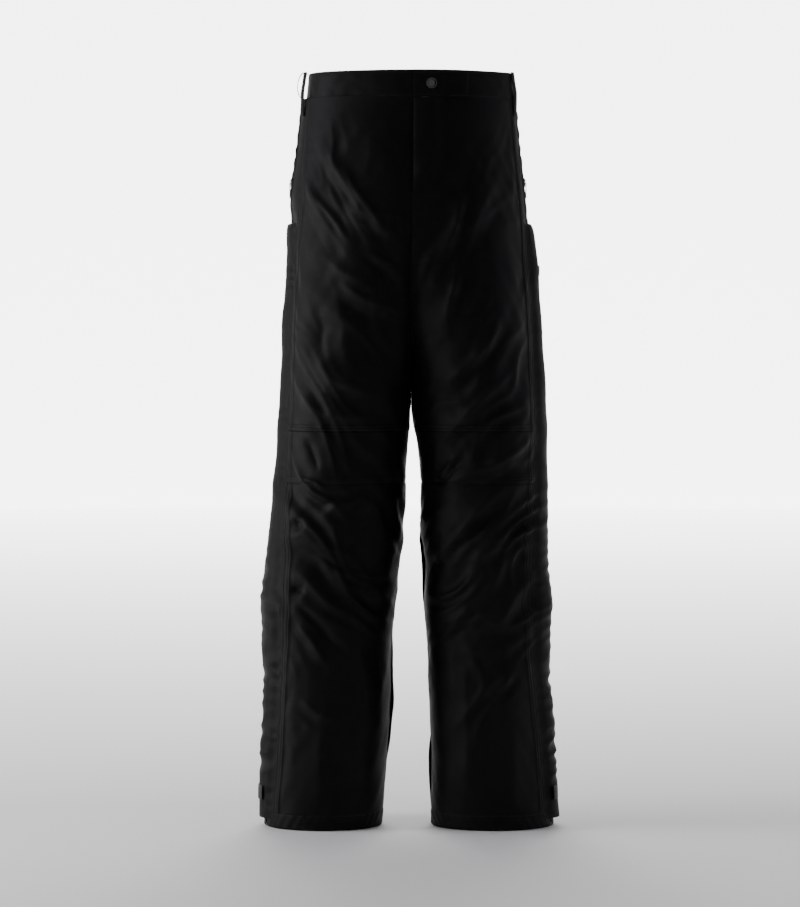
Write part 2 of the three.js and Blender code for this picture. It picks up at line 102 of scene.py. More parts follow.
def depth_at(height, angle):
    return np.where(np.sin(angle) > 0, along(back_depth, height), along(front_depth, height))


def angle_at_y(height, y):
    return np.arcsin(np.clip(y / depth_at(height, np.sign(y) * np.ones(np.shape(height))), -1, 1))


def front_angle_at_x(side, height, x):
    centre, half = leg_width(side, height)
    return -np.arccos(np.clip((x - centre) / half, -1, 1))


def inner_angle(side, height, x=0.0002):
    """The centre seam above the crotch, and the inside leg seam below it."""
    return np.where(height > crotch, -front_angle_at_x(side, height, x), math.pi - 0.0005)


def round_leg(side, angle, height):
    """Distance round the leg from its outer side, negative towards the front."""
    return angle * (leg_width(side, height)[1] + depth_at(height, angle)) / 2


def smoothstep(x, low, high):
    t = np.clip((x - low) / (high - low), 0, 1)
    return t * t * (3 - 2 * t)


def wander(a, b, length, seed, waves=9):
    """A smooth uneven swell over two coordinates, about 1 high, with bumps about that long."""
    draw = np.random.default_rng(seed)
    total = np.zeros(np.broadcast(a, b).shape)
    for _ in range(waves):
        turn, phase = draw.uniform(0, 2 * math.pi, 2)
        k = 2 * math.pi / (length * draw.uniform(0.7, 1.5))
        total += np.sin(k * (a * math.cos(turn) + b * math.sin(turn)) + phase)
    return total / math.sqrt(waves / 2) / 1.6


# Creases and ridges of the hanging cloth: points (out from the centre, height above the hem), the
# width and the height of the ridge, and how deep a groove lies on its lower side.
front_folds = {
    -1: (
        (((0.122, 0.975), (0.085, 0.905), (0.05, 0.838)), 0.015, 0.0055, 0.8),
        (((0.098, 0.945), (0.060, 0.885), (0.022, 0.826)), 0.012, 0.0050, 0.9),
        (((0.150, 0.930), (0.125, 0.870), (0.080, 0.800)), 0.020, 0.0040, 0.4),
        (((0.060, 0.820), (0.030, 0.800), (0.010, 0.770)), 0.009, 0.0035, 0.8),
        (((0.105, 0.780), (0.060, 0.750), (0.012, 0.735)), 0.016, 0.0050, 0.6),
        (((0.129, 0.735), (0.129, 0.655)), 0.030, -0.0060, 0.0),
        (((0.150, 0.700), (0.110, 0.640), (0.045, 0.610)), 0.018, 0.0045, 0.5),
        (((0.160, 0.620), (0.120, 0.590), (0.050, 0.585)), 0.014, 0.0035, 0.5),
        (((0.150, 0.560), (0.129, 0.510)), 0.014, -0.0055, 0.0),
        (((0.150, 0.500), (0.134, 0.496), (0.120, 0.484)), 0.006, 0.0045, 0.9),
        (((0.075, 0.470), (0.100, 0.463), (0.130, 0.448)), 0.009, 0.0040, 0.9),
        (((0.165, 0.445), (0.155, 0.425)), 0.013, -0.0050, 0.0),
        (((0.150, 0.404), (0.120, 0.386), (0.090, 0.366)), 0.007, -0.0055, 0.0),
        (((0.100, 0.372), (0.062, 0.359), (0.030, 0.360)), 0.008, 0.0050, 0.8),
        (((0.170, 0.345), (0.150, 0.340)), 0.008, -0.0050, 0.0),
        (((0.162, 0.322), (0.135, 0.295), (0.105, 0.264)), 0.010, -0.0060, 0.0),
        (((0.165, 0.300), (0.140, 0.270), (0.120, 0.235)), 0.012, 0.0045, 0.4),
        (((0.075, 0.330), (0.070, 0.150), (0.075, 0.030)), 0.022, 0.0035, 0.3),
        (((0.125, 0.210), (0.130, 0.110), (0.135, 0.020)), 0.024, 0.0035, 0.3),
        (((0.160, 0.190), (0.130, 0.165), (0.100, 0.158)), 0.010, 0.0030, 0.6),
    ),
    1: (
        (((0.070, 0.905), (0.060, 0.850), (0.038, 0.798)), 0.010, 0.0060, 1.1),
        (((0.115, 0.930), (0.090, 0.870), (0.060, 0.820)), 0.020, 0.0040, 0.4),
        (((0.065, 0.790), (0.056, 0.755), (0.048, 0.715)), 0.009, 0.0050, 0.8),
        (((0.035, 0.830), (0.020, 0.800), (0.008, 0.770)), 0.008, 0.0035, 0.8),
        (((0.128, 0.722), (0.090, 0.672), (0.044, 0.626)), 0.013, 0.0060, 0.8),
        (((0.150, 0.665), (0.120, 0.630), (0.080, 0.600)), 0.016, 0.0040, 0.5),
        (((0.100, 0.612), (0.072, 0.582), (0.044, 0.548)), 0.011, 0.0055, 0.8),
        (((0.068, 0.533), (0.052, 0.514), (0.034, 0.490)), 0.006, 0.0050, 0.9),
        (((0.168, 0.555), (0.110, 0.518), (0.042, 0.486)), 0.017, 0.0065, 0.6),
        (((0.108, 0.470), (0.072, 0.425), (0.034, 0.374)), 0.010, 0.0060, 0.9),
        (((0.150, 0.440), (0.120, 0.405), (0.075, 0.378)), 0.012, 0.0045, 0.6),
        (((0.040, 0.503), (0.034, 0.490)), 0.007, -0.0050, 0.0),
        (((0.040, 0.382), (0.032, 0.368)), 0.007, -0.0050, 0.0),
        (((0.088, 0.322), (0.070, 0.304), (0.048, 0.282)), 0.010, 0.0050, 0.7),
        (((0.150, 0.335), (0.125, 0.300), (0.100, 0.285)), 0.014, 0.0040, 0.5),
        (((0.148, 0.230), (0.122, 0.206), (0.094, 0.180)), 0.010, 0.0045, 0.7),
        (((0.075, 0.250), (0.080, 0.140), (0.080, 0.030)), 0.024, 0.0040, 0.3),
        (((0.140, 0.170), (0.145, 0.090), (0.150, 0.020)), 0.022, 0.0035, 0.3),
    ),
}
# Behind, the seat hangs in soft diagonals to the crotch and the back of each knee buckles.
back_folds = (
    (((0.125, 0.900), (0.075, 0.820), (0.018, 0.750)), 0.020, 0.0055, 0.5),
    (((0.100, 0.960), (0.060, 0.890), (0.012, 0.800)), 0.016, 0.0040, 0.6),
    (((0.140, 0.780), (0.090, 0.725), (0.030, 0.690)), 0.017, 0.0055, 0.6),
    (((0.150, 0.690), (0.100, 0.645), (0.040, 0.620)), 0.014, 0.0045, 0.6),
    (((0.160, 0.585), (0.110, 0.550), (0.050, 0.545)), 0.012, 0.0055, 0.8),
    (((0.165, 0.535), (0.110, 0.510), (0.045, 0.515)), 0.010, 0.0060, 0.9),
    (((0.160, 0.490), (0.110, 0.470), (0.050, 0.480)), 0.011, 0.0050, 0.8),
    (((0.160, 0.440), (0.120, 0.425), (0.060, 0.440)), 0.013, 0.0045, 0.6),
    (((0.150, 0.350), (0.130, 0.200), (0.130, 0.030)), 0.024, 0.0045, 0.3),
    (((0.080, 0.370), (0.075, 0.200), (0.080, 0.030)), 0.022, 0.0040, 0.3),
    (((0.165, 0.260), (0.130, 0.235), (0.090, 0.230)), 0.012, 0.0035, 0.6),
)


ridge_narrowed, ridge_raised, all_folds_raised = 0.8, 1.1, 1.25


def ridge(side, s, height, points, width, lift, groove, behind):
    """One fold: a rounded ridge along a line, fading at its ends, and smaller ones below it."""
    xs, hs = (np.array(v) for v in zip(*points))
    turns = front_angle_at_x(side, hs, xs)
    ss = round_leg(side, -turns if behind else turns, hs)
    best = np.full(s.shape, 1e9)
    signed = np.zeros(s.shape)
    place = np.zeros(s.shape)
    pieces = len(ss) - 1
    for i in range(pieces):
        ds, dh = ss[i + 1] - ss[i], hs[i + 1] - hs[i]
        t = ((s - ss[i]) * ds + (height - hs[i]) * dh) / (ds * ds + dh * dh)
        inside = np.clip(t, 0, 1)
        gap_s, gap_h = s - ss[i] - inside * ds, height - hs[i] - inside * dh
        far = np.hypot(gap_s, gap_h)
        nearer = far < best
        best = np.where(nearer, far, best)
        below = np.sign(ds * gap_h - dh * gap_s) * (-1 if behind else 1)
        signed = np.where(nearer, below * far, signed)
        place = np.where(nearer, (i + inside) / pieces, place)
    fade = smoothstep(place, -0.02, 0.35) * (1 - smoothstep(place, 0.65, 1.02)) * 0.9 + 0.1
    shape = 0
    width = ridge_narrowed * width
    for offset, size, wide in ((0, 1, 1), (1.5, -0.6 * groove, 0.8), (2.9, 0.3 * groove, 0.9)):
        blunt = 0.15 * wide * width
        away = np.where(offset == 0, best, np.hypot(signed - offset * width, 0.0))
        shape = shape + size * np.exp(-1.25 * (np.hypot(away, blunt) - blunt) / (wide * width))
    return ridge_raised * lift * fade * shape


def creases(s, height, tilt, wide, long, seed):
    """Uneven long creases that run inwards and down at a tilt, sharp on top and hollow between."""
    inward = np.abs(s)
    far = inward * math.cos(tilt) - height * math.sin(tilt)
    aside = inward * math.sin(tilt) + height * math.cos(tilt)
    aside = aside + 0.35 * wide * wander(inward, height, 0.13, seed + 50)
    swell = wander(far * wide / long, aside, wide, seed)
    return 0.55 - np.sqrt(swell ** 2 + 0.006)


# Where the cloth creases most: the height above the hem, how far up and down, how far in from the
# side, how wide that is, how tall the creases are, their tilt, width, length and pattern.
crease_zones = (
    (0.450, 0.075, 0.13, 0.12, 0.0066, 0.66, 0.050, 0.24, 3),
    (0.330, 0.070, 0.12, 0.12, 0.0058, 0.55, 0.046, 0.22, 7),
    (0.610, 0.090, 0.14, 0.10, 0.0046, 0.85, 0.050, 0.30, 11),
    (0.800, 0.110, 0.15, 0.09, 0.0046, 1.00, 0.052, 0.34, 19),
    (0.170, 0.080, 0.10, 0.14, 0.0024, 1.20, 0.075, 0.34, 23),
    (0.940, 0.050, 0.13, 0.12, 0.0020, 1.15, 0.055, 0.24, 29),
)


def folds(side, angle, height):
    """How far the cloth stands out from its plain shape, over the whole of one leg."""
    s = round_leg(side, angle, height)
    out = np.zeros(s.shape)
    behind = smoothstep(s, -0.012, 0.012)
    for mid_h, tall_h, mid_s, wide_s, tall, tilt, wide, long, seed in crease_zones:
        zone = np.exp(-(((height - mid_h) / tall_h) ** 2) - ((np.abs(s) - mid_s) / wide_s) ** 2)
        ahead = creases(s, height, tilt, wide, long, seed + 100 * (side > 0))
        rear = creases(s, height, 0.6 * tilt, wide, long, seed + 200 + 100 * (side > 0))
        out += tall * zone * ((1 - behind) * ahead + behind * rear)
    for fold in front_folds[side]:
        out += ridge(side, s, height, *fold, behind=False) * (angle < 0.3)
    for fold in back_folds:
        out += ridge(side, s, height, *fold, behind=True) * (angle > 0.3)
    out += 0.0015 * wander(s, height * 0.55, 0.10, 5 + side)
    out += 0.0003 * wander(s + 0.5 * height, height * 0.3, 0.030, 15 + side)
    calm = smoothstep(height, 1.035, 0.985) * (0.25 + 0.75 * smoothstep(height, 0.0, 0.05))
    side_calm = 0.35 + 0.65 * smoothstep(np.abs(s + 0.02), 0.015, 0.045)
    return all_folds_raised * out * calm * side_calm


def skin(side, angle, height, raised=0.0, folded=True):
    """Points on the cloth of one leg, raised off it by a distance."""
    centre, half = leg_width(side, height)
    depth = depth_at(height, angle)
    nx, ny = np.cos(angle) / half, np.sin(angle) / depth
    size = np.hypot(nx, ny)
    out = raised + (folds(side, angle, height) if folded else 0)
    x = centre + half * np.cos(angle) + out * nx / size
    y = depth * np.sin(angle) + out * ny / size
    return np.stack([side * x, y, height + hem_z], axis=-1)


def keep_apart(points, side, low, inside):
    """Below a height, two legs that meet at the middle press flat and don't cross."""
    local = side * points[..., 0]
    below = points[..., 2] < low + hem_z
    points[..., 0] = side * np.where(below, np.maximum(local, inside), local)
    return points


def spread(length, step, fine_start=0.0, fine_end=0.0, fine_step=0.001):
    """Places from 0 to 1 along a length, closer together within a distance of either end."""
    def gap(x):
        near = (x < fine_start) or (length - x < fine_end)
        return fine_step if near else step
    places = [0.0]
    while places[-1] < length:
        places.append(places[-1] + gap(places[-1]))
    return np.array(places) / places[-1]


def new_piece(name, points, faces, material):
    """An object in the scene with a mesh of these points and faces."""
    mesh = bpy.data.meshes.new(name)
    mesh.from_pydata(points, [], faces)
    mesh.materials.append(material)
    piece = bpy.data.objects.new(name, mesh)
    bpy.context.scene.collection.objects.link(piece)
    return piece


def cloth_mesh(name, outer, inner, across, up, edge_scuff_and_fold_highlight, material):
    """A piece of cloth with both faces and its edges, its weave coordinates and a mask of scuffed edges and
    painted highlight on fold ridges.
    """
    rows, columns = outer.shape[:2]
    count = rows * columns
    at = np.arange(count).reshape(rows, columns)
    a, b, c, d = at[:-1, :-1], at[:-1, 1:], at[1:, 1:], at[1:, :-1]
    front = np.stack([a, b, c, d], -1).reshape(-1, 4)
    back = np.stack([a, d, c, b], -1).reshape(-1, 4) + count
    rims = []
    for line, turned in ((at[0], True), (at[-1], False), (at[:, 0], False), (at[:, -1], True)):
        p, q = line[:-1], line[1:]
        rim = np.stack([p, q, q + count, p + count], -1)
        rims.append(rim[:, ::-1] if turned else rim)
    faces = np.concatenate([front, back, *[rim[:, ::-1] for rim in rims]])
    points = np.concatenate([outer.reshape(-1, 3), inner.reshape(-1, 3)])
    piece = new_piece(name, points.tolist(), faces.tolist(), material)
    mesh = piece.data
    corners = points[faces[: len(front)]]
    leaving = np.cross(corners[:, 1] - corners[:, 0], corners[:, 3] - corners[:, 0])
    outward = (outer - inner).reshape(-1, 3)[faces[: len(front), 0]]
    if (leaving * outward).sum() < 0:
        mesh.flip_normals()
    weave = mesh.uv_layers.new(name="weave")
    flat = np.stack([np.broadcast_to(part, (rows, columns)) for part in (across, up)], -1)
    flat = np.concatenate([flat.reshape(-1, 2)] * 2)
    loops = np.zeros(len(mesh.loops), int)
    mesh.loops.foreach_get("vertex_index", loops)
    weave.data.foreach_set("uv", flat[loops].astype(np.float32).ravel())
    scuff_and_highlight = mesh.attributes.new("edge_scuff_and_fold_highlight", "FLOAT", "POINT")
    scuff_and_highlight.data.foreach_set("value", np.concatenate([edge_scuff_and_fold_highlight.ravel()] * 2).astype(np.float32))
    mesh.polygons.foreach_set("use_smooth", [True] * len(mesh.polygons))
    return piece


def declare_sheet(points):
    """Measures the flat size of a grid of points with no folds: its width, length and area. The results are
    not used.
    """
    up, across = points[1:] - points[:-1], points[:, 1:] - points[:, :-1]
    wide = float(np.linalg.norm(across, axis=-1).sum(axis=1).max())
    long = float(np.linalg.norm(up, axis=-1).sum(axis=0).max())
    area = float(np.linalg.norm(np.cross(up[:, :-1], across[:-1]), axis=-1).sum())
    if area < 0.35 * wide * long:
        wide, area = area / long, None


# --- Shell cloth ----------------------------------------------------------------------------
# A smooth, tightly woven black cloth with a soft satin sheen. Its colour is painted a little greyer along the
# ridges of folds, a painted highlight, and along seam edges, which are scuffed, and its fine weave shows only
# close up.
class Value:
    """A shader number that can be used in plain arithmetic."""

    def __init__(self, shade, socket):
        self.shade = shade
        self.socket = socket

    def maths(self, operation, a, b):
        return self.shade.node("ShaderNodeMath", {"operation": operation}, {0: a, 1: b})

    def __add__(self, other):
        return self.maths("ADD", self, other)

    def __radd__(self, other):
        return self.maths("ADD", other, self)

    def __sub__(self, other):
        return self.maths("SUBTRACT", self, other)

    def __rsub__(self, other):
        return self.maths("SUBTRACT", other, self)

    def __mul__(self, other):
        return self.maths("MULTIPLY", self, other)

    def __rmul__(self, other):
        return self.maths("MULTIPLY", other, self)


class Shade:
    """A material with a Principled shader, and one method that adds any node to it."""

    def __init__(self, name, **plain):
        self.material = bpy.data.materials.new(name)
        self.material.use_nodes = True
        self.tree = self.material.node_tree
        self.main = self.tree.nodes["Principled BSDF"]
        for socket, value in plain.items():
            self.main.inputs[socket.replace("_", " ")].default_value = value

    def node(self, kind, settings=None, inputs=None, output=0):
        made = self.tree.nodes.new(kind)
        for key, value in (settings or {}).items():
            setattr(made, key, value)
        for key, value in (inputs or {}).items():
            if isinstance(value, Value):
                self.tree.links.new(value.socket, made.inputs[key])
            else:
                made.inputs[key].default_value = value
        return Value(self, made.outputs[output])

    def feed(self, socket, value):
        self.tree.links.new(value.socket, self.main.inputs[socket])

    def mix(self, factor, first, second):
        ends = {0: factor, 6: first, 7: second}
        return self.node("ShaderNodeMix", {"data_type": "RGBA"}, ends, output=2)

    def noise(self, scale, detail=4.0, rough=0.6):
        solid = self.node("ShaderNodeTexCoord", output="Object")
        settings = {"Vector": solid, "Scale": scale, "Detail": detail, "Roughness": rough}
        return self.node("ShaderNodeTexNoise", None, settings)


def grey(level, tint=0.0):
    """A neutral colour, or a slightly blue one."""
    return (level, level, level * (1 + tint), 1)


def woven(name, dark, light, scuff_and_highlight_colour, rough, thread, depth, cross=True, **plain):
    """Woven cloth: threads over and under along the piece's own weave coordinates."""
    cloth = Shade(name, **plain)
    place = cloth.node("ShaderNodeUVMap", {"uv_map": "weave"})
    u = cloth.node("ShaderNodeSeparateXYZ", None, {0: place}, output="X")
    v = cloth.node("ShaderNodeSeparateXYZ", None, {0: place}, output="Y")
    turn = 2 * math.pi / thread
    weft = cloth.node("ShaderNodeMath", {"operation": "SINE"}, {0: v * turn})
    over = weft
    if cross:
        over = cloth.node("ShaderNodeMath", {"operation": "SINE"}, {0: u * turn}) * weft
    over = over * 0.5 + 0.5
    cloudy = cloth.noise(14.0, 5.0)
    slub = cloth.noise(170.0, 3.0, 0.7)
    # The lighter colour is mixed in by a mask that holds scuffing along cut edges and a painted highlight on
    # the ridges of folds, lighter as if lit.
    scuff_and_highlight = cloth.node("ShaderNodeAttribute", {"attribute_name": "edge_scuff_and_fold_highlight"}, output="Fac")
    base = cloth.mix(cloudy, dark, light)
    base = cloth.mix(scuff_and_highlight * (slub * 0.6 + 0.3), base, scuff_and_highlight_colour)
    base = cloth.mix(over * 0.3, base, dark)
    cloth.feed("Base Color", base)
    cloth.feed("Roughness", (cloudy - 0.5) * 0.12 + scuff_and_highlight * 0.08 + over * 0.04 + rough)
    swell = cloth.node("ShaderNodeBump", None, {"Height": slub, "Distance": 0.0005, "Strength": 0.3})
    threads = {"Height": over, "Distance": depth, "Strength": 0.6, "Normal": swell}
    cloth.feed("Normal", cloth.node("ShaderNodeBump", None, threads))
    return cloth.material


shell_cloth = woven(
    "shell cloth", grey(0.0020, 0.12), grey(0.0034, 0.18), grey(0.010, 0.1), 0.52, 0.0009, 0.00006,
    Specular_IOR_Level=0.10,
)
thread_shade = Shade("thread", Roughness=0.5, Specular_IOR_Level=0.5)
thread_shade.feed("Base Color", thread_shade.mix(thread_shade.noise(900.0), grey(0.006), grey(0.016)))
thread = thread_shade.material

cloth_step = 0.0032
cloth_thick = 0.0011
front_seam = {
    1: ((0, 0.191), (0.05, 0.188), (0.14, 0.181), (0.19, 0.175), (0.25, 0.169), (0.38, 0.168),
        (0.47, 0.172), (0.54, 0.174), (0.69, 0.172), (0.765, 0.166), (0.862, 0.160), (1.037, 0.144)),
    -1: ((0, 0.196), (0.098, 0.190), (0.183, 0.184), (0.268, 0.181), (0.382, 0.179), (0.493, 0.177),
         (0.567, 0.175), (0.694, 0.169), (0.794, 0.163), (0.862, 0.160), (1.037, 0.148)),
}
zip_y = ((0, -0.022), (0.45, -0.020), (0.964, -0.014), (1.037, -0.013))
zip_top = 0.968
fly_bottom = 0.905
fly_zip_x = 0.019


def seam_angle(side, height):
    return front_angle_at_x(side, height, along(front_seam[side], height))


def zip_angle(height, aside=0.0):
    return angle_at_y(height, np.interp(height, *zip(*zip_y)) + aside)


def slot_angle(height, towards):
    """The cloth edge beside the zip. Above the zip's end the two edges are sewn together."""
    return zip_angle(height, towards * np.where(height > zip_top, 0.0002, 0.0032))


def pressed_angle(side, height):
    """Where the front of a leg turns onto the flat face that presses against the other leg."""
    clear = np.maximum(front_angle_at_x(side, height, 0.0001), -math.pi + 0.30)
    return np.where(height > fly_bottom, np.maximum(clear, centre_angle(side, height) + 0.03), clear)


def centre_angle(side, height):
    """The front edge: the middle seam, and above the fly's foot the edges beside the fly zip."""
    x = np.where(height < fly_bottom, 0.0002, side * fly_zip_x + 0.0044)
    return np.where(height > crotch, front_angle_at_x(side, height, x), -math.pi + 0.0005)


def move(piece, body):
    """A piece given one body is parented to it; a piece given several is only fixed where it lies."""
    if isinstance(body, str):
        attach(piece, body)
    else:
        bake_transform(piece)


def lay(
    name, nodes, side, low, high, start, end, lift, material=shell_cloth, slot="shell_cloth", body="root",
    thick=cloth_thick, folded=True, step=cloth_step, fine=(0.0, 0.0, 0.0, 0.0), round_edge=0.0012,
    apart=fly_bottom, inside=0.0001, knots=(),
):
    """Lays a piece of cloth on the leg between two heights and two edges round the leg.

    low and high may be functions of the place across it, from 0 to 1. lift gives how far it stands
    off the body at each point. fine is how far in from start, end, low and high it is cut finely.
    knots are places across, from 0 to 1, that are held at an angle of their own at each height.
    """
    low_of = low if callable(low) else (lambda u: low + 0 * u)
    high_of = high if callable(high) else (lambda u: high + 0 * u)
    half_way = np.array([(low_of(np.array(0.5)) + high_of(np.array(0.5))) / 2])
    from_s, to_s = (round_leg(side, edge(half_way), half_way) for edge in (start, end))
    width = float(np.abs(to_s - from_s)[0])
    long = float(high_of(np.array(0.5)) - low_of(np.array(0.5)))
    u = spread(width, step, *fine[:2])[None, :]
    v = spread(long, step, *fine[2:])[:, None]
    height = low_of(u) + (high_of(u) - low_of(u)) * v
    a0, a1 = start(height), end(height)
    stops = [(0.0, a0), *((place, knot(height)) for place, knot in knots), (1.0, a1)]
    angle = a0 + 0 * u
    for (u0, from_angle), (u1, to_angle) in zip(stops[:-1], stops[1:]):
        part = from_angle + (to_angle - from_angle) * np.clip((u - u0) / (u1 - u0), 0, 1)
        angle = np.where(u >= u0, part, angle)
    s = round_leg(side, angle, height)
    at = SimpleNamespace(
        angle=angle, height=height, s=s, u=u + 0 * height, v=v + 0 * height,
        from_start=np.abs(s - s[:, :1]), from_end=np.abs(s - s[:, -1:]),
        from_low=height - height[:1], from_high=height[-1:] - height, side=side,
    )
    up = lift(at)
    edge = np.minimum.reduce([at.from_start, at.from_end, at.from_low, at.from_high])
    squeeze = thick * 0.3 * (1 - smoothstep(edge, 0, round_edge))
    outer = keep_apart(skin(side, angle, height, up - squeeze, folded), side, apart, inside)
    inner = skin(side, angle, height, up - thick + squeeze, folded)
    inner = keep_apart(inner, side, apart, inside + thick)
    # Painted highlight: the ridges of the folds are given a lighter colour, as if lit. Along the cut edges
    # the same mask marks scuffing.
    painted_crest_highlight = np.clip(folds(side, angle, height) / 0.006, 0, 1) ** 1.5 * 0.5 if folded else 0
    edge_scuff_and_fold_highlight = np.maximum(painted_crest_highlight, np.exp(-edge / 0.003) * 0.8)
    piece = cloth_mesh(name, outer, inner, s, height, edge_scuff_and_fold_highlight, material)
    move(piece, body)
    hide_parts(*nodes)
    declare_sheet(skin(side, angle, height, 0, False))
    return SimpleNamespace(piece=piece, outer=outer, side=side, body=body, slot=slot)


def inset_line(points, edge, inset):
    """The line that runs inside one edge of a grid of points, at a distance in from it."""
    if edge in ("low", "high"):
        points = points.transpose(1, 0, 2)
    if edge in ("end", "high"):
        points = points[:, ::-1]
    steps = np.linalg.norm(points[:, 1:] - points[:, :-1], axis=-1)
    far = np.concatenate([np.zeros((len(points), 1)), np.cumsum(steps, axis=1)], axis=1)
    return np.array([[np.interp(inset, f, p[:, k]) for k in range(3)] for f, p in zip(far, points)])


def stitch_along(lines, pitch=0.0032, thick=0.00042):
    """Vertices and faces of thread stitches along lines, each a spindle half sunk in the cloth."""
    spindles = []
    for line, outward in lines:
        gaps = np.linalg.norm(line[1:] - line[:-1], axis=1)
        far = np.concatenate([[0], np.cumsum(gaps)])
        count = int(far[-1] / pitch)
        if count < 1:
            continue
        ends = np.linspace(0, far[-1], count + 1)
        posts = np.stack([np.interp(ends, far, line[:, k]) for k in range(3)], 1)
        out = np.stack([np.interp(ends, far, outward[:, k]) for k in range(3)], 1)
        out = (out[1:] + out[:-1]) / 2
        out /= np.linalg.norm(out, axis=1, keepdims=True)
        run = posts[1:] - posts[:-1]
        across = np.cross(out, run)
        across /= np.linalg.norm(across, axis=1, keepdims=True)
        middle = (posts[1:] + posts[:-1]) / 2
        half = thick / 2
        spindles.append(np.stack([
            posts[:-1] + run * 0.11 - out * 0.0001, posts[1:] - run * 0.11 - out * 0.0001,
            middle + across * half, middle + out * thick * 0.8, middle - across * half,
            middle - out * half,
        ], axis=1))
    points = np.concatenate(spindles)
    ring = ((0, 2, 3), (0, 3, 4), (0, 4, 5), (0, 5, 2), (1, 3, 2), (1, 4, 3), (1, 5, 4), (1, 2, 5))
    faces = (np.array(ring)[None] + 6 * np.arange(len(points))[:, None, None]).reshape(-1, 3)
    return points.reshape(-1, 3), faces


def sew(name, cloth, *rows):
    """Rows of stitches on a laid piece: (edge, distance in, where they begin from 0 to 1)."""
    points = cloth.outer
    up = np.gradient(points, axis=0)
    across = np.gradient(points, axis=1)
    normal = np.cross(across, up) * cloth.side
    normal /= np.linalg.norm(normal, axis=-1, keepdims=True)
    if (normal * (points - points.mean(axis=(0, 1)) * [1, 0, 1])).sum() < 0:
        normal = -normal
    lines = []
    for edge, inset, *begin in rows:
        line = inset_line(points, edge, inset)
        raised = inset_line(points + normal, edge, inset)
        first = int(len(line) * begin[0]) if begin else 0
        lines.append((line[first:], (raised - line)[first:]))
    places, faces = stitch_along(lines)
    seam = new_piece(name, places.tolist(), faces.tolist(), thread)
    seam.data.polygons.foreach_set("use_smooth", [True] * len(faces))
    move(seam, cloth.body)


def pucker(from_seam, height, seed, reach=0.012, tall=0.0009, length=0.016):
    """Small cross creases where a seam has drawn up the cloth beside it."""
    phase = 2 * math.pi * height / length + 1.8 * wander(0 * height, height, 0.05, seed)
    swell = 0.6 + 0.4 * wander(0 * height, height, 0.09, seed + 1)
    return tall * np.sin(phase) * np.exp(-from_seam / reach) * swell


def dent(distance, *insets, depth=0.0004, width=0.0009):
    """The small channels that rows of stitching pull into the cloth."""
    return -depth * sum(np.exp(-(((distance - inset) / width) ** 2)) for inset in insets)


# --- Front panels ---------------------------------------------------------------------------
# Each front is cut in three: a thigh panel, a short knee panel and a shin panel. Their outer edges
# lap over the side panels in a flat band with two rows of stitching.
knee_top, knee_bottom, hem_top = 0.567, 0.493, 0.022
lap_rows = (0.0018, 0.0078)
cross_rows = (0.0016, 0.0068)
for word, side in sides:
    parts = (
        ("front_thigh_panel", knee_top, band_bottom + 0.002),
        ("knee_panel", knee_bottom, knee_top + 0.004),
        ("front_shin_panel", hem_top - 0.004, knee_bottom + 0.004),
    )
    for index, (part, low, high) in enumerate(parts):
        def front_lift(at, low=low, high=high, index=index):
            lap = 0.0012 * (1 - smoothstep(at.from_end, 0.0095, 0.012)) + dent(at.from_end, *lap_rows)
            tucked = -0.0014 * smoothstep(at.height, high - 0.0045, high - 0.0036) * (index > 0)
            hemmed = -0.0012 * (1 - smoothstep(at.height, hem_top - 0.003, hem_top)) * (index == 2)
            outer_end = 1 - 0.85 * smoothstep(at.from_end, 0.035, 0.060) * (index == 1)
            turned = 0.0007 * (1 - smoothstep(at.from_low, 0.008, 0.0095)) * (index < 2)
            turned = (turned + dent(at.from_low, *cross_rows) * (index < 2)) * outer_end
            flush = -0.0009 * (1 - smoothstep(at.from_low, 0.0, 0.008)) * (1 - outer_end)
            drawn = pucker(at.from_end, at.height, 31 + side, 0.020, 0.0006, 0.019)
            return lap + tucked + hemmed + turned + flush + drawn * smoothstep(at.from_end, 0.008, 0.016)
        knots = (
            (0.10, lambda h, side=side: pressed_angle(side, h) + 0.02),
            (0.24, lambda h, side=side: front_angle_at_x(side, h, 0.05 + 0.012 * smoothstep(h, 0.6, 0.4))),
        )
        front = lay(
            f"{part}_cloth_{word}", [f"{part}_{word}"], side, low, high,
            lambda h, side=side: centre_angle(side, h), lambda h, side=side: seam_angle(side, h),
            front_lift, fine=(0, 0.014, 0.012, 0.006), knots=knots,
        )
        rows = [("end", row) for row in lap_rows]
        if index < 2:
            rows += [("low", row, 0.68 * index) for row in cross_rows]
        sew(f"{part}_stitching_{word}", front, *rows)

# --- Side panels ----------------------------------------------------------------------------
# A narrow strip runs from under the front's lap to the zip. Its edge by the zip is turned in.
for word, side in sides:
    def side_lift(at):
        under = -0.0016 * (1 - smoothstep(at.from_start, 0.004, 0.006))
        turned = 0.0007 * (1 - smoothstep(at.from_end, 0.005, 0.007)) + dent(at.from_end, 0.0035)
        return under + turned + pucker(at.from_start, at.height, 41 + at.side, 0.018, 0.0009, 0.017)
    strip = lay(
        f"side_panel_cloth_{word}", [f"side_panel_{word}"], side, hem_top - 0.004, band_bottom + 0.002,
        lambda h, side=side: seam_angle(side, h) - 0.05, lambda h: slot_angle(h, -1), side_lift,
        fine=(0.0, 0.008, 0.006, 0.006),
    )
    sew(f"side_panel_stitching_{word}", strip, ("end", 0.0035))

# --- Back panels ----------------------------------------------------------------------------
# One long panel behind each leg, from the zip round to the inside leg and centre back seams. The
# left one is felled over the right one at the centre back with two rows of stitching.
def back_middle(side, height):
    return -front_angle_at_x(side, height, 0.05 + 0.012 * smoothstep(height, 0.6, 0.4))


def back_inner(side, height):
    return -np.maximum(front_angle_at_x(side, height, 0.0001), -math.pi + 0.30) - 0.02


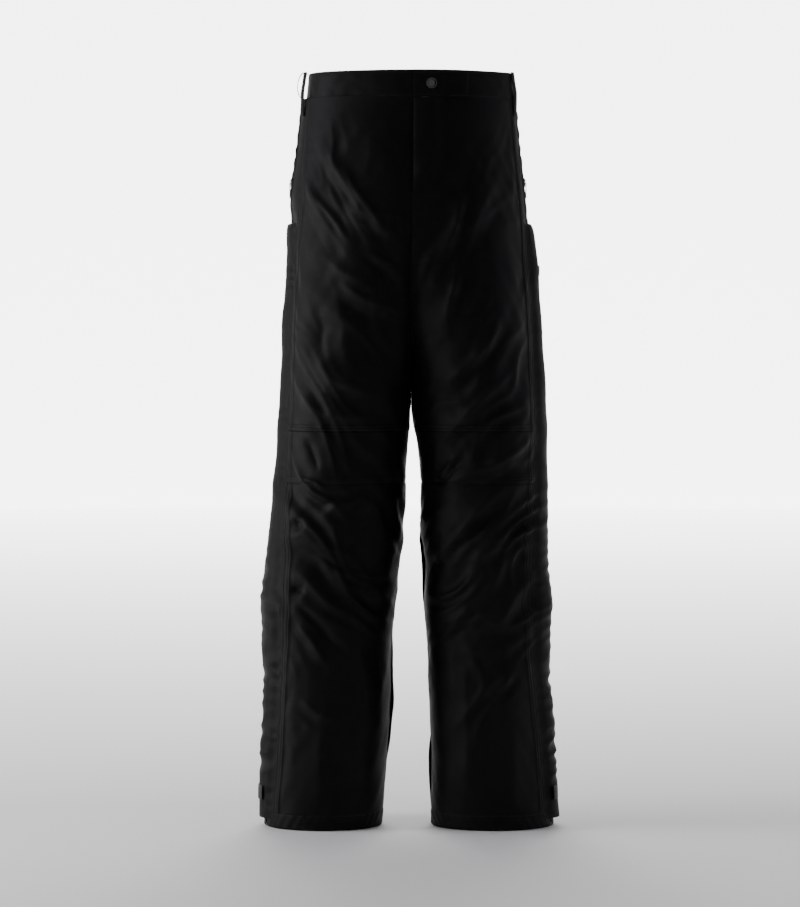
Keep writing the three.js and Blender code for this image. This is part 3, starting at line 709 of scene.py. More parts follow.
for word, side in sides:
    def back_lift(at):
        turned = 0.0007 * (1 - smoothstep(at.from_start, 0.005, 0.007)) + dent(at.from_start, 0.0035)
        hemmed = -0.0012 * (1 - smoothstep(at.height, hem_top - 0.003, hem_top))
        felled = 0.0009 * (1 - smoothstep(at.from_end, 0.008, 0.010)) + dent(at.from_end, *cross_rows)
        drawn = pucker(at.from_start, at.height, 51 + at.side, 0.022, 0.0010, 0.021)
        return turned + hemmed + drawn + felled * (at.side > 0)
    behind = lay(
        f"back_panel_cloth_{word}", [f"back_panel_{word}"], side, hem_top - 0.004, band_bottom + 0.002,
        lambda h: slot_angle(h, 1), lambda h, side=side: inner_angle(side, h), back_lift,
        fine=(0.008, 0.012, 0.006, 0.006),
        knots=((0.78, lambda h, side=side: back_middle(side, h)),
               (0.90, lambda h, side=side: back_inner(side, h))),
    )
    rows = [("start", 0.0035)]
    if side > 0:
        rows += [("end", row) for row in cross_rows]
    sew(f"back_panel_stitching_{word}", behind, *rows)

# --- Hem bands ------------------------------------------------------------------------------
# The hem is turned up and stitched once, which ropes it slightly. It is open at the side zip.
for word, side in sides:
    for half, start, end in (
        ("front", lambda h, side=side: -inner_angle(side, h), lambda h: slot_angle(h, -1)),
        ("back", lambda h: slot_angle(h, 1), lambda h, side=side: inner_angle(side, h)),
    ):
        def hem_lift(at):
            phase = 2 * math.pi * (at.s + 0.6 * at.height) / 0.013 + 2 * wander(at.s, at.height, 0.06, 61)
            rolled = -0.0008 * (1 - smoothstep(at.from_low, 0.0, 0.003))
            return 0.0008 + rolled + 0.0004 * np.sin(phase) + dent(at.from_high, 0.002)
        hem = lay(
            f"{half}_hem_band_cloth_{word}", [f"{half}_hem_band_{word}"], side, 0.0, hem_top, start, end,
            hem_lift, thick=0.0018, fine=(0, 0, 0.004, 0.006),
        )
        sew(f"{half}_hem_stitching_{word}", hem, ("high", 0.002))

# --- Middle seams ---------------------------------------------------------------------------
# Seam allowances of shell cloth close the front seam below the fly and the centre back seam.
seam_foot = crotch - 0.02
for word, edge_sign, high in (("front", 1, fly_bottom + 0.02), ("back", -1, band_bottom)):
    low = seam_foot
    rows = spread(high - low, 0.004)[:, None] * (high - low) + low
    across = np.linspace(-0.008, 0.008, 9)[None, :]
    height = rows + 0 * across
    x = np.abs(across) + 0 * height
    grids = []
    for side in (1, -1):
        turns = front_angle_at_x(side, height, np.maximum(x, 0.0004)) * edge_sign
        grids.append(skin(side, turns, height, -0.0015))
    outer = np.where(across[..., None] > 0, grids[0], grids[1])
    outer[..., 0] = across
    inner = outer + np.array([0, 0.0012 * edge_sign, 0])
    seam = cloth_mesh(f"{word}_seam_allowance", outer, inner, x, height, 0 * height, shell_cloth)
    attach(seam, "root")
    declare_sheet(outer)

# --- Linings --------------------------------------------------------------------------------
# A thin, smooth lining hangs inside each leg from the waistband to just above the hem.
lining_cloth = woven(
    "lining", grey(0.020, 0.05), grey(0.030, 0.05), grey(0.05), 0.38, 0.0006, 0.00003,
    Specular_IOR_Level=0.5, Sheen_Weight=0.1,
)
lining_edge = {1: 0.050, -1: 0.010}
for word, side in sides:
    def lining_start(height, side=side):
        x = np.where(height < fly_bottom, 0.0006, lining_edge[side])
        return np.where(height > crotch, front_angle_at_x(side, height, x), -math.pi + 0.004)

    def lining_lift(at):
        loose = 0.0007 * wander(at.s, at.height * 0.4, 0.045, 71 + at.side)
        return -0.0066 + loose
    lay(
        f"leg_lining_cloth_{word}", [f"leg_lining_{word}"], side, 0.030, 1.034, lining_start,
        lambda h, side=side: np.where(h > crotch, inner_angle(side, h, 0.0006), math.pi - 0.004), lining_lift,
        material=lining_cloth, slot="lining", thick=0.0006, step=0.0055, apart=waist_top, inside=0.0022,
    )

# --- Waistband ------------------------------------------------------------------------------
# A folded band all round the waist, in two halves that meet at the centre back, with a row of
# stitching along both edges and a lining facing inside. The right half runs on under the tab.
front_centre, back_centre = -math.pi / 2, math.pi / 2
hinge_x, tab_edge, tab_end, underlap_end = 0.0445, 0.002, 0.080, 0.040
band_row = 0.0022


def band_sway(at, scale=1.0):
    """The waistband's slight unevenness, shared by everything sewn to it."""
    swell = 0.0012 * wander(at.angle * 0.14, at.height * 0.3, 0.11, 81)
    return scale * (swell + 0.0003 * wander(at.angle * 0.14, at.height, 0.02, 83))


def band_lift(at):
    rows = dent(at.from_low, band_row) + dent(at.from_high, band_row)
    drawn = 0.0002 * np.sin(2 * math.pi * at.angle * 0.14 / 0.011) * np.exp(-at.from_low / 0.006)
    return 0.0010 + band_sway(at) + rows + drawn


def front_x(side, x):
    return lambda h: front_angle_at_x(side, h, x)


band_fine = (0.003, 0.003, 0.006, 0.006)
halves = (
    ("waistband_right", front_x(1, underlap_end), lambda h: front_centre - math.pi + 0.0015 + 0 * h),
    ("waistband_left", front_x(1, hinge_x - 0.002), lambda h: back_centre - 0.0015 + 0 * h),
)
for name, start, end in halves:
    band = lay(
        f"{name}_cloth", [name], 1, band_bottom, waist_top, start, end, band_lift, thick=0.0022,
        folded=False, fine=band_fine, apart=0,
    )
    sew(f"{name}_stitching", band, ("low", band_row), ("high", band_row))
lay(
    "waistband_facing_cloth", ["waistband_facing"], 1, band_bottom + 0.002, waist_top - 0.003,
    front_x(1, hinge_x), lambda h: front_centre - 2 * math.pi + 0.36 + 0 * h,
    lambda at: -0.0033 + band_sway(at), material=lining_cloth, slot="lining", thick=0.0009, folded=False,
    apart=0,
)

# --- Fly ------------------------------------------------------------------------------------
# A short zip behind a placket, which laps from the left over the right and carries on up as a tab on the
# waistband. Both are sewn down along one side, the side they would swing open from; here they stay laid
# closed.
zip_tape = woven(
    "zip tape", grey(0.006), grey(0.010), grey(0.03), 0.62, 0.0011, 0.00012, cross=False,
    Specular_IOR_Level=0.35,
)


def fly_blend(height):
    """Where the fly's cloth bends between the sewn side and the free side, at one height."""
    level = np.array(height)
    turns = [front_angle_at_x(1, level, hinge_x + aside) for aside in (0.006, -0.006)]
    return [tuple(map(float, skin(1, turn, level, 0.002, False))) for turn in turns]


def tab_lift(at):
    rows = dent(at.from_low, band_row) + dent(at.from_high, band_row) + dent(at.from_start, 0.002)
    rows += dent(at.from_end, 0.002)
    return 0.0032 + band_sway(at) + rows


tab = lay(
    "waistband_tab_cloth", ["waistband_tab", "waistband_tab_root"], 1, band_bottom, waist_top,
    front_x(1, tab_edge), front_x(1, tab_end), tab_lift, thick=0.0019, folded=False, step=0.0025,
    fine=(0.004, 0.004, 0.006, 0.006), body=("root", "fly_flap", *fly_blend(1.056)), apart=0,
)
tab_rows = (("low", band_row), ("high", band_row), ("start", 0.002), ("end", 0.002))
sew("waistband_tab_stitching", tab, *tab_rows)


def placket_lift(at):
    rooted = smoothstep(at.u, 0.42, 1.0)
    footed = 1 - smoothstep(at.from_low, 0.0, 0.045)
    topped = 1 - smoothstep(at.height, 1.022, 1.036) * 0.2
    arched = 0.0027 * np.sin(math.pi * np.clip(at.u, 0, 1) ** 0.8) * topped
    free = (0.0017 + arched) * (1 - rooted) * (1 - footed)
    return free - 0.0003 * np.maximum(rooted, footed) + dent(at.from_start, 0.002)


def placket_low(u):
    return 0.897 + 0.010 * u ** 2


placket = lay(
    "fly_placket_cloth", ["fly_placket"], 1, placket_low, 1.036, front_x(1, tab_edge),
    front_x(1, 0.052), placket_lift, thick=0.0013, step=0.0025, fine=(0.004, 0, 0.004, 0.002),
    body=("root", "fly_flap", *fly_blend(0.97)), apart=0,
)
sew("fly_placket_stitching", placket, ("start", 0.002))
lay(
    "fly_underlap_cloth", ["fly_underlap"], 1, fly_bottom + 0.002, 1.034, front_x(1, -0.006),
    front_x(1, 0.046), lambda at: -0.0064 + 0 * at.s, material=lining_cloth, slot="lining", thick=0.0010,
    apart=0,
)


def tape_lift(at):
    return -0.0044 + 0 * at.s


lay(
    "fly_zip_tape_cloth", ["fly_zip_tape"], 1, fly_bottom + 0.002, 1.034, front_x(1, fly_zip_x - 0.010),
    front_x(1, fly_zip_x + 0.010), tape_lift, material=zip_tape, slot="zip_tape", thick=0.0008, apart=0,
)

# --- Side zips ------------------------------------------------------------------------------
# A moulded zip runs the whole side of each leg, with a slider at the top and another at the hem.
# Its teeth interlock from the two sides, each tooth a small rounded block on the tape's edge.
for word, side in sides:
    lay(
        f"side_zip_tape_cloth_{word}", [f"side_zip_tape_{word}"], side, 0.012, 0.966,
        lambda h: zip_angle(h, -0.010), lambda h: zip_angle(h, 0.010), tape_lift, material=zip_tape,
        slot="zip_tape", thick=0.0008,
    )
teeth_shade = Shade("zip teeth", Roughness=0.34, Specular_IOR_Level=0.5)
teeth_tone = teeth_shade.mix(teeth_shade.noise(260.0), grey(0.012), grey(0.030))
teeth_shade.feed("Base Color", teeth_tone)
teeth_shade.feed("Roughness", teeth_shade.noise(500.0, 3.0) * 0.25 + 0.25)


def teeth(name, node, side, low, high, angle_of, pitch, wide, tall, deep):
    """A row of interlocked zip teeth up the cloth, alternately from one side and the other."""
    heights = np.arange(low + pitch / 2, high, pitch / 2)
    angle = angle_of(heights)
    middle = skin(side, angle, heights, -0.0012)
    top = skin(side, angle, heights, -0.0002)
    aside = skin(side, angle + 0.01, heights, -0.0012) - middle
    aside /= np.linalg.norm(aside, axis=1, keepdims=True)
    out = top - middle
    out /= np.linalg.norm(out, axis=1, keepdims=True)
    up = np.cross(out, aside)
    section = ((-1, -1), (1, -1), (1, 0.4), (0.5, 1), (-0.5, 1), (-1, 0.4))
    block = np.array([
        (x, y, z * (0.62 if abs(x) > 0.9 else 1.0)) for x in (-1, -0.45, 0.45, 1) for y, z in section
    ])
    faces = []
    for ring in range(3):
        a = 6 * ring
        faces += [(a + i, a + (i + 1) % 6, a + 6 + (i + 1) % 6, a + 6 + i) for i in range(6)]
    faces += [tuple(range(5, -1, -1)), tuple(range(18, 24))]
    lean = np.where(np.arange(len(heights)) % 2 == 0, 1, -1)[:, None, None] * wide * 0.16
    shape = block * np.array([wide / 2, tall / 2, deep / 2])
    points = (
        middle[:, None] + aside[:, None] * (shape[None, :, :1] + lean)
        + up[:, None] * shape[None, :, 1:2] + out[:, None] * shape[None, :, 2:]
    ).reshape(-1, 3)
    count = len(shape)
    every = [tuple(i + count * k for i in face) for k in range(len(heights)) for face in faces]
    row = new_piece(name, points.tolist(), every, teeth_shade.material)
    bpy.ops.object.select_all(action="DESELECT")
    row.select_set(True)
    bpy.context.view_layer.objects.active = row
    bpy.ops.object.mode_set(mode="EDIT")
    bpy.ops.mesh.select_all(action="SELECT")
    bpy.ops.mesh.normals_make_consistent(inside=False)
    bpy.ops.object.mode_set(mode="OBJECT")
    row.select_set(False)
    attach(row, "root")
    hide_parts(node)


for word, side in sides:
    teeth(
        f"side_zip_teeth_row_{word}", f"side_zip_teeth_{word}", side, 0.014, 0.963, zip_angle, 0.0030,
        0.0044, 0.0011, 0.0020,
    )
teeth(
    "fly_zip_teeth_row", "fly_zip_teeth", 1, fly_bottom + 0.005, 1.032,
    lambda h: front_angle_at_x(1, h, fly_zip_x), 0.0024, 0.0040, 0.0009, 0.0018,
)

# --- Storm flaps ----------------------------------------------------------------------------
# A long flap is sewn down beside the front seam and arches back over each side zip to a free edge
# with a rounded top corner. Its free edge is turned in and stitched twice.
flap_low, flap_high = 0.012, 0.862
flap_free_y = 0.021
flap_rows = (0.0022, 0.0082)
hinge_top, hinge_bottom = (-0.0301, 0.862), (-0.0414, 0.034)


def flap_start(side, height):
    return seam_angle(side, height) + 0.006


def flap_lift_at(side, angle, height):
    """How far the flap's outer face stands off the body."""
    a0, a1 = flap_start(side, height), angle_at_y(height, flap_free_y)
    u = np.clip((angle - a0) / (a1 - a0), 0, 1)
    arched = np.sin(math.pi * smoothstep(u, 0.0, 1.15) ** 0.9) ** 0.75
    down = np.clip((flap_high - height) / 0.030, 0, 1)
    open_top = 0.25 + 0.75 * np.sqrt(1 - (1 - down) ** 2)
    swell = 0.0009 * wander(0 * height, height, 0.10, 91 + side)
    swell = swell + 0.0005 * wander(0 * height, height, 0.04, 93)
    drawn_up = 0.5 - np.abs(wander(0.03 * u, height, 0.032, 97 + side))
    swell = swell + 0.0026 * drawn_up * smoothstep(height, 0.46, 0.30) * smoothstep(height, 0.03, 0.08)
    mid = (0.0085 + swell) * open_top
    return 0.0011 + mid * arched * smoothstep(u, 0.02, 0.25) + 0.0030 * smoothstep(u, 0.55, 1.0)


def flap_top(u):
    corner = np.clip((u - 0.72) / 0.28, 0, 1)
    return flap_high - 0.016 * (1 - np.sqrt(np.clip(1 - corner ** 2, 0, 1)))


for word, side in sides:
    def flap_lift(at):
        rows = dent(at.from_end, *flap_rows) + dent(at.from_start, 0.0035)
        drawn = pucker(at.from_start, at.height, 95 + at.side, 0.016, 0.0011, 0.018)
        drawn += pucker(at.from_end, at.height, 97 + at.side, 0.010, 0.0006, 0.015)
        drawn = drawn * smoothstep(at.from_start, 0.002, 0.008)
        return flap_lift_at(at.side, at.angle, at.height) + rows + drawn
    slope = (hinge_top[0] - hinge_bottom[0]) / (hinge_top[1] - hinge_bottom[1])
    across = Vector((0, 1, -slope)).normalized() * 0.006
    half_y, half_z = ((a + b) / 2 for a, b in zip(hinge_top, hinge_bottom))
    centre = Vector((side * 0.18, half_y, hem_z + half_z))
    flap = lay(
        f"storm_flap_cloth_{word}", [f"storm_flap_{word}"], side, flap_low, flap_top,
        lambda h, side=side: flap_start(side, h), lambda h: angle_at_y(h, flap_free_y), flap_lift,
        thick=0.0016, step=0.0026, fine=(0.008, 0.010, 0.004, 0.004),
        body=("root", f"storm_flap_{word}", tuple(centre - across), tuple(centre + across)),
    )
    rows = [("end", row) for row in flap_rows] + [("start", 0.0035), ("high", 0.0025)]
    sew(f"storm_flap_stitching_{word}", flap, *rows)

# --- Hem tabs -------------------------------------------------------------------------------
# A short strip of webbing is sewn to the flap's lower corner and snaps to the back of the leg.
webbing = woven(
    "webbing", grey(0.007), grey(0.012), grey(0.035), 0.60, 0.0016, 0.0002, cross=False,
    Specular_IOR_Level=0.35,
)
tab_low, tab_high, tab_start_y, tab_end_y = 0.038, 0.058, -0.027, 0.036
for word, side in sides:
    def hem_tab_lift(at):
        return 0.0112 + 0.0003 * wander(at.s, at.height, 0.03, 99) + dent(at.from_start, 0.003, 0.008)
    strap = lay(
        f"hem_tab_webbing_{word}", [f"hem_tab_{word}"], side, tab_low, tab_high,
        lambda h: angle_at_y(h, tab_start_y), lambda h: angle_at_y(h, tab_end_y), hem_tab_lift,
        material=webbing, slot="webbing", thick=0.0016, step=0.002, folded=False,
        fine=(0.004, 0.003, 0.002, 0.002), body=f"hem_tab_{word}",
    )
    sew(f"hem_tab_stitching_{word}", strap, ("start", 0.003), ("start", 0.008))

# --- Belt loops -----------------------------------------------------------------------------
# Five loops of doubled cloth stand over the waistband, sewn below it and folded over its top edge.
loop_profile = ((1.016, 0.0016), (1.024, 0.0018), (1.031, 0.0056), (1.050, 0.0066), (1.064, 0.0056),
                (1.070, 0.0036), (1.0765, 0.0030))
loops = (
    ("side_left", 1, -0.27), ("side_right", -1, -0.27), ("back_left", 1, 0.85), ("back_right", -1, 0.85),
    ("centre_back", 1, back_centre),
)
loop_half = 0.0068
for name, side, angle in loops:
    def loop_lift(at):
        return along(loop_profile, at.height) + dent(at.from_start, 0.0018) + dent(at.from_end, 0.0018)
    beside, here = (round_leg(side, np.array([turn]), np.array([1.05])) for turn in (angle + 0.01, angle))
    reach = loop_half / (float(np.abs(beside - here)[0]) / 0.01)
    loop = lay(
        f"belt_loop_cloth_{name}", [f"belt_loop_{name}"], side, 1.014, 1.0765,
        lambda h, a=angle, r=reach: a - r + 0 * h, lambda h, a=angle, r=reach: a + r + 0 * h, loop_lift,
        slot="webbing", thick=0.0017, step=0.0022, folded=False, fine=(0.004, 0.004, 0.003, 0.003), apart=0,
    )
    rows = (("start", 0.0018), ("end", 0.0018), ("low", 0.003), ("low", 0.0042), ("high", 0.003))
    sew(f"belt_loop_stitching_{name}", loop, *rows)

# --- Hanger loop ----------------------------------------------------------------------------
# A narrow tape is sewn into the top of the waistband on the right and again lower down outside.
hanger_route = ((-0.1475, 1.0735), (-0.1500, 1.0775), (-0.1560, 1.0772), (-0.1608, 1.0690), (-0.1630, 1.0565),
                (-0.1612, 1.0460), (-0.1565, 1.0405), (-0.1548, 1.0395))
ends = np.linspace(0, 1, len(hanger_route))
finer = np.linspace(0, 1, 61)
soften = np.linspace(-0.06, 0.06, 7)
hanger_x, hanger_h = (
    sum(np.interp(np.clip(finer + d, 0, 1), ends, [point[k] for point in hanger_route]) for d in soften) / 7
    for k in (0, 1)
)
along_x, along_h = np.gradient(hanger_x), np.gradient(hanger_h)
length = np.hypot(along_x, along_h)
across = np.linspace(-1, 1, 7)[None, :]
twist = 0.0009 * np.sin(finer * math.pi)[:, None] * across
outer = np.stack([
    hanger_x[:, None] + 0 * across, 0.0022 * across + 0 * finer[:, None] - 0.001 * np.sin(3 * finer)[:, None],
    hanger_h[:, None] + hem_z + twist,
], axis=-1)
inward = np.stack([-along_h / length, 0 * length, along_x / length], axis=-1)[:, None, :]
rim = 1 - 0.35 * np.abs(across[..., None]) ** 4
hanger = cloth_mesh(
    "hanger_loop_tape", outer + inward * 0.0005 * rim, outer - inward * 0.0005 * rim, 0.0022 * across,
    np.cumsum(length)[:, None], 0.5 * np.abs(across) ** 3 + 0 * finer[:, None], webbing,
)
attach(hanger, "root")
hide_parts("hanger_loop")

# --- Metals ---------------------------------------------------------------------------------
# The snaps at the flaps and hems are dull nickel, and the waist snap and the zips are gunmetal.
def metal(name, dark, light, rough):
    shade = Shade(name, Metallic=1.0)
    cloudy = shade.noise(220.0, 4.0)
    spots = shade.noise(1400.0, 2.0, 0.7)
    shade.feed("Base Color", shade.mix(cloudy, dark, light))
    shade.feed("Roughness", spots * 0.16 + cloudy * 0.10 + rough)
    fine = {"Height": spots, "Distance": 0.00004, "Strength": 0.5}
    shade.feed("Normal", shade.node("ShaderNodeBump", None, fine))
    return shade.material


gunmetal = metal("gunmetal", (0.075, 0.076, 0.082, 1), (0.15, 0.15, 0.16, 1), 0.34)
nickel = metal("dull nickel", (0.17, 0.175, 0.19, 1), (0.29, 0.30, 0.32, 1), 0.30)


def set_on(piece, side, angle, height, raised, body, node, material, up=(0, 0, 1)):
    """Turns a piece made flat at the origin, facing +Z, onto the leg and gives it its body."""
    outward = Vector((side * math.cos(angle) / float(leg_width(side, height)[1]),
                      math.sin(angle) / float(depth_at(height, angle)), 0)).normalized()
    y = (Vector(up) - outward * Vector(up).dot(outward)).normalized()
    x = y.cross(outward)
    place = Vector(skin(side, np.array(angle), np.array(height), 0.0))
    turn = Matrix((x, y, outward)).transposed().to_4x4()
    piece.matrix_world = Matrix.Translation(place + outward * raised) @ turn
    bpy.ops.object.select_all(action="DESELECT")
    piece.select_set(True)
    bpy.context.view_layer.objects.active = piece
    bpy.ops.object.transform_apply(location=True, rotation=True, scale=True)
    bpy.ops.object.shade_smooth_by_angle(angle=0.7)
    piece.select_set(False)
    piece.data.materials.clear()
    piece.data.materials.append(material)
    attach(piece, body)
    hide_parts(*node)


def join(name, *parts):
    bpy.ops.object.select_all(action="DESELECT")
    for part in parts:
        part.select_set(True)
    bpy.context.view_layer.objects.active = parts[0]
    bpy.ops.object.join()
    whole = bpy.context.object
    whole.name = name
    return whole


def ring_part(kind, **options):
    getattr(bpy.ops.mesh, f"primitive_{kind}_add")(**options)
    return bpy.context.object


# --- Snap fasteners -------------------------------------------------------------------------
# Each cap is a pressed disc with a rolled rim and a low dome inside it. Behind it is the stud that it
# closes on, a short post on a flange.
def snap_cap(name, radius):
    disc = ring_part("cylinder", vertices=48, radius=radius * 0.93, depth=0.0010, location=(0, 0, 0.0005))
    rim = ring_part("torus", major_segments=48, minor_segments=12, major_radius=radius * 0.90,
                    minor_radius=radius * 0.105, location=(0, 0, 0.0010))
    dome = ring_part("uv_sphere", segments=40, ring_count=20, radius=radius * 0.80, location=(0, 0, 0.0007))
    dome.scale = (1, 1, 0.21)
    bpy.ops.object.transform_apply(location=True, rotation=True, scale=True)
    return join(name, disc, rim, dome)


def snap_stud(name, radius, tall):
    flange = ring_part("cylinder", vertices=36, radius=radius, depth=0.0007, location=(0, 0, 0.00035))
    edge = ring_part("torus", major_segments=36, minor_segments=8, major_radius=radius * 0.95,
                     minor_radius=0.0004, location=(0, 0, 0.0005))
    post = ring_part("cylinder", vertices=28, radius=radius * 0.45, depth=tall - 0.0006,
                     location=(0, 0, tall / 2))
    lip = ring_part("torus", major_segments=28, minor_segments=8, major_radius=radius * 0.44,
                    minor_radius=0.0005, location=(0, 0, tall - 0.0008))
    return join(name, flange, edge, post, lip)


height = 1.056
angle = float(front_angle_at_x(1, np.array(height), 0.028))
set_on(snap_cap("waist_snap_cap_metal", 0.0075), 1, angle, height, 0.0033, "fly_flap",
       ["waist_snap_cap"], gunmetal)
set_on(snap_stud("waist_snap_stud_metal", 0.0050, 0.0012), 1, angle, height, -0.0033, "root",
       ["waist_snap_stud"], gunmetal)
for word, side in sides:
    height = 0.795
    angle = float(angle_at_y(np.array(height), 0.007))
    over = float(flap_lift_at(side, np.array([angle]), np.array([height]))[0])
    set_on(snap_cap(f"flap_snap_cap_metal_{word}", 0.0075), side, angle, height, over + 0.0001,
           f"storm_flap_{word}", [f"flap_snap_{word}_cap"], nickel)
    set_on(snap_stud(f"flap_snap_stud_metal_{word}", 0.006, 0.0046), side, angle, height, 0.0008, "root",
           [f"flap_snap_{word}_stud"], nickel)
    height = 0.048
    angle = float(angle_at_y(np.array(height), 0.028))
    set_on(snap_cap(f"hem_snap_cap_metal_{word}", 0.006), side, angle, height, 0.0113, f"hem_tab_{word}",
           [f"hem_snap_{word}_cap"], nickel)
    set_on(snap_stud(f"hem_snap_stud_metal_{word}", 0.0048, 0.0065), side, angle, height, 0.0008, "root",
           [f"hem_snap_{word}_stud"], nickel)

# --- Zip sliders ----------------------------------------------------------------------------
# Each slider is a pair of plates over and under the teeth with a bridge across the top, and a
# waisted metal pull hangs by a slot from the bridge.
def slider_body(name):
    plates = []
    for low in (0.0006, -0.0030):
        plate = ring_part("cube", size=1, location=(0, 0, low + 0.0005))
        plate.scale = (0.0086, 0.0125, 0.0010)
        bpy.ops.object.transform_apply(location=True, rotation=True, scale=True)
        rounded = plate.modifiers.new("edges", "BEVEL")
        rounded.width = 0.0022
        rounded.segments = 5
        rounded.affect = "EDGES"
        rounded.use_clamp_overlap = True
        rounded.limit_method = "NONE"
        bpy.ops.object.modifier_apply(modifier="edges")
        plates.append(plate)
    for aside in (-0.0040, 0.0040):
        wall = ring_part("cube", size=1, location=(aside, 0.0006, -0.0011))
        wall.scale = (0.0008, 0.0098, 0.0034)
        bpy.ops.object.transform_apply(location=True, rotation=True, scale=True)
        plates.append(wall)
    bridge = ring_part("torus", major_segments=40, minor_segments=12, major_radius=0.0021,
                       minor_radius=0.00045, location=(0, 0.0012, 0.0014), rotation=(0, math.pi / 2, 0))
    bridge.scale = (0.75, 1.45, 1.6)
    bpy.ops.object.transform_apply(location=True, rotation=True, scale=True)
    plates.append(bridge)
    return join(name, *plates)


def slider_pull(name, long):
    """A flat tag with a slot at its top bar, widening to a rounded end."""
    profile = ((0.0, 0.0024), (0.0040, 0.0022), (0.0060, 0.0016), (0.45 * long, 0.0017),
               (0.80 * long, 0.0027), (0.93 * long, 0.0026), (0.99 * long, 0.0015))
    outline = [(-w, -d) for d, w in profile] + [(w, -d) for d, w in reversed(profile)]
    slot = [(-0.0012, -0.0010), (-0.0012, -0.0036), (0.0012, -0.0036), (0.0012, -0.0010)]
    drawn = bpy.data.curves.new(name, "CURVE")
    drawn.dimensions = "2D"
    drawn.fill_mode = "BOTH"
    drawn.extrude = 0.00025
    drawn.bevel_depth = 0.0002
    drawn.bevel_resolution = 2
    for line in (outline, slot):
        path = drawn.splines.new("POLY")
        path.points.add(len(line) - 1)
        for point, (x, y) in zip(path.points, line):
            point.co = (x, y, 0, 1)
        path.use_cyclic_u = True
    tag = bpy.data.objects.new(name, drawn)
    bpy.context.scene.collection.objects.link(tag)
    bpy.ops.object.select_all(action="DESELECT")
    tag.select_set(True)
    bpy.context.view_layer.objects.active = tag
    bpy.ops.object.convert(target="MESH")
    return bpy.context.object


def add_slider(name, word, side, angle, height, long, body, pull_body):
    up = Vector(skin(side, np.array(angle), np.array(height + 0.05), 0.0, False)
                - skin(side, np.array(angle), np.array(height), 0.0, False))
    set_on(slider_body(f"{name}_slider_metal{word}"), side, angle, height, 0.0004, body,
           [f"{name}{word}_slider"], gunmetal, up)
    set_on(slider_pull(f"{name}_pull_metal{word}", long), side, angle, height, 0.0034, pull_body,
           [f"{name}{word}_pull"], gunmetal, up)


fly_slider_height = 1.022
fly_angle = float(front_angle_at_x(1, np.array(fly_slider_height), fly_zip_x))
add_slider("fly", "", 1, fly_angle, fly_slider_height, 0.012, "fly_slider", "fly_slider")
for word, side in sides:
    for name, height, long in (("upper", 0.920, 0.022), ("lower", 0.026, 0.016)):
        angle = float(zip_angle(np.array(height)))
        add_slider(f"{name}_zip", f"_{word}", side, angle, height, long, f"{name}_slider_{word}",
                   f"{name}_pull_{word}")

# --- Stage, lights and camera ---------------------------------------------------------------
# A pale floor, painted darker in front of the object and glowing behind it, a round backdrop that glows
# behind the object, a soft light at each side and a long lens in front.
room_radius = 9.0
bpy.ops.mesh.primitive_circle_add(
    vertices=96, radius=room_radius, fill_type="NGON", location=(0, 0, hem_z - 0.0005)
)
floor = bpy.context.object
floor.name = "floor"
bpy.ops.mesh.primitive_cylinder_add(
    vertices=96, radius=room_radius, depth=16, end_fill_type="NOTHING", location=(0, 0, hem_z + 6)
)
backdrop = bpy.context.object
backdrop.name = "backdrop"
bpy.ops.object.shade_smooth()


def far_back(shade, start, full):
    """0 nearer than start and 1 beyond full, measured back from the object."""
    place = shade.node("ShaderNodeTexCoord", output="Object")
    behind = shade.node("ShaderNodeSeparateXYZ", None, {0: place}, output="Y")
    reach = {"Value": behind, "From Min": start, "From Max": full, "To Min": 0.0, "To Max": 1.0}
    return shade.node("ShaderNodeMapRange", None, reach)


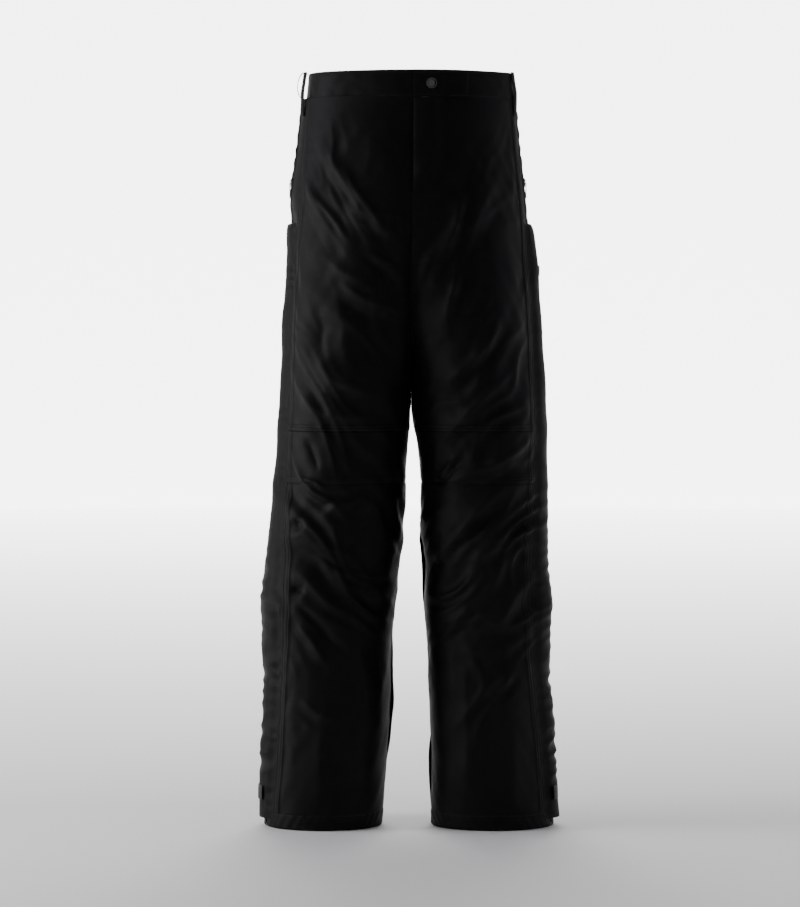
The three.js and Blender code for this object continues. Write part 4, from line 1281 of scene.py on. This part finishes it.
pale = Shade("floor with painted shade and glow", Roughness=0.9, Emission_Strength=2.6)
# Painted shade: the floor's colour is grey in front of the object and pale from just in front of it back.
pale.feed("Base Color", pale.mix(far_back(pale, -2.2, -0.8), grey(0.30), grey(0.92)))
# Painted light: the floor glows, more strongly the further it lies behind the object.
pale.feed("Emission Color", pale.mix(far_back(pale, 0.2, 6.5), grey(0.0), grey(1.0)))
floor.data.materials.append(pale.material)
bright = Shade("glowing backdrop", Roughness=0.9, Specular_IOR_Level=0.0, Emission_Strength=5.0)
# Painted light: the backdrop glows, faintly at the front and sides, brighter towards the back, and full white
# right behind the object, where it also lights the cloth's edges from behind.
glow = bright.mix(far_back(bright, 6.6, 8.3), grey(0.012), grey(0.22))
bright.feed("Emission Color", bright.mix(far_back(bright, 8.45, 8.75), glow, grey(1.0)))
bright.feed("Base Color", bright.mix(bright.noise(2.0), grey(0.40), grey(0.42)))
backdrop.data.materials.append(bright.material)


def soft_light(name, place, aim, size, power, colour):
    lamp = bpy.data.lights.new(name, "AREA")
    lamp.shape = "RECTANGLE"
    lamp.size, lamp.size_y = size
    lamp.energy = power
    lamp.color = colour
    holder = bpy.data.objects.new(name, lamp)
    bpy.context.scene.collection.objects.link(holder)
    holder.location = place
    holder.rotation_euler = (Vector(aim) - Vector(place)).to_track_quat("-Z", "Y").to_euler()


middle = hem_z + 0.55
left_lights = (("upper", 1.05, 24, (0.90, 0.86, 1.0)), ("lower", -0.10, 30, (1.0, 0.94, 0.87)))
for word, above, power, colour in left_lights:
    place = (-2.3, -0.20, middle + above)
    soft_light(f"{word} left light", place, (0, 0, middle + 0.5 * above), (1.2, 1.1), power, colour)
soft_light("right light", (2.4, -0.15, middle + 0.4), (0, 0, middle), (1.0, 2.2), 5, (0.72, 0.78, 1.0))
world = bpy.data.worlds.new("studio")
world.use_nodes = True
world.node_tree.nodes["Background"].inputs[0].default_value = (0.75, 0.77, 0.8, 1)
world.node_tree.nodes["Background"].inputs[1].default_value = 0.03
bpy.context.scene.world = world

lens = bpy.data.cameras.new("camera")
camera = bpy.data.objects.new("camera", lens)
bpy.context.scene.collection.objects.link(camera)
camera_far = 5.2
camera_height = hem_z + 0.72
aim_x, aim_height = -0.016, hem_z + 0.533
frame_wide = 1.148
camera.location = (aim_x, -camera_far, camera_height)
camera.rotation_euler = (
    (Vector((aim_x, 0, aim_height)) - camera.location).to_track_quat("-Z", "Y").to_euler()
)
lens.sensor_width = 36
lens.sensor_fit = "HORIZONTAL"
lens.lens = 36 * math.hypot(camera_far, camera_height - aim_height) / frame_wide
bpy.context.scene.camera = camera
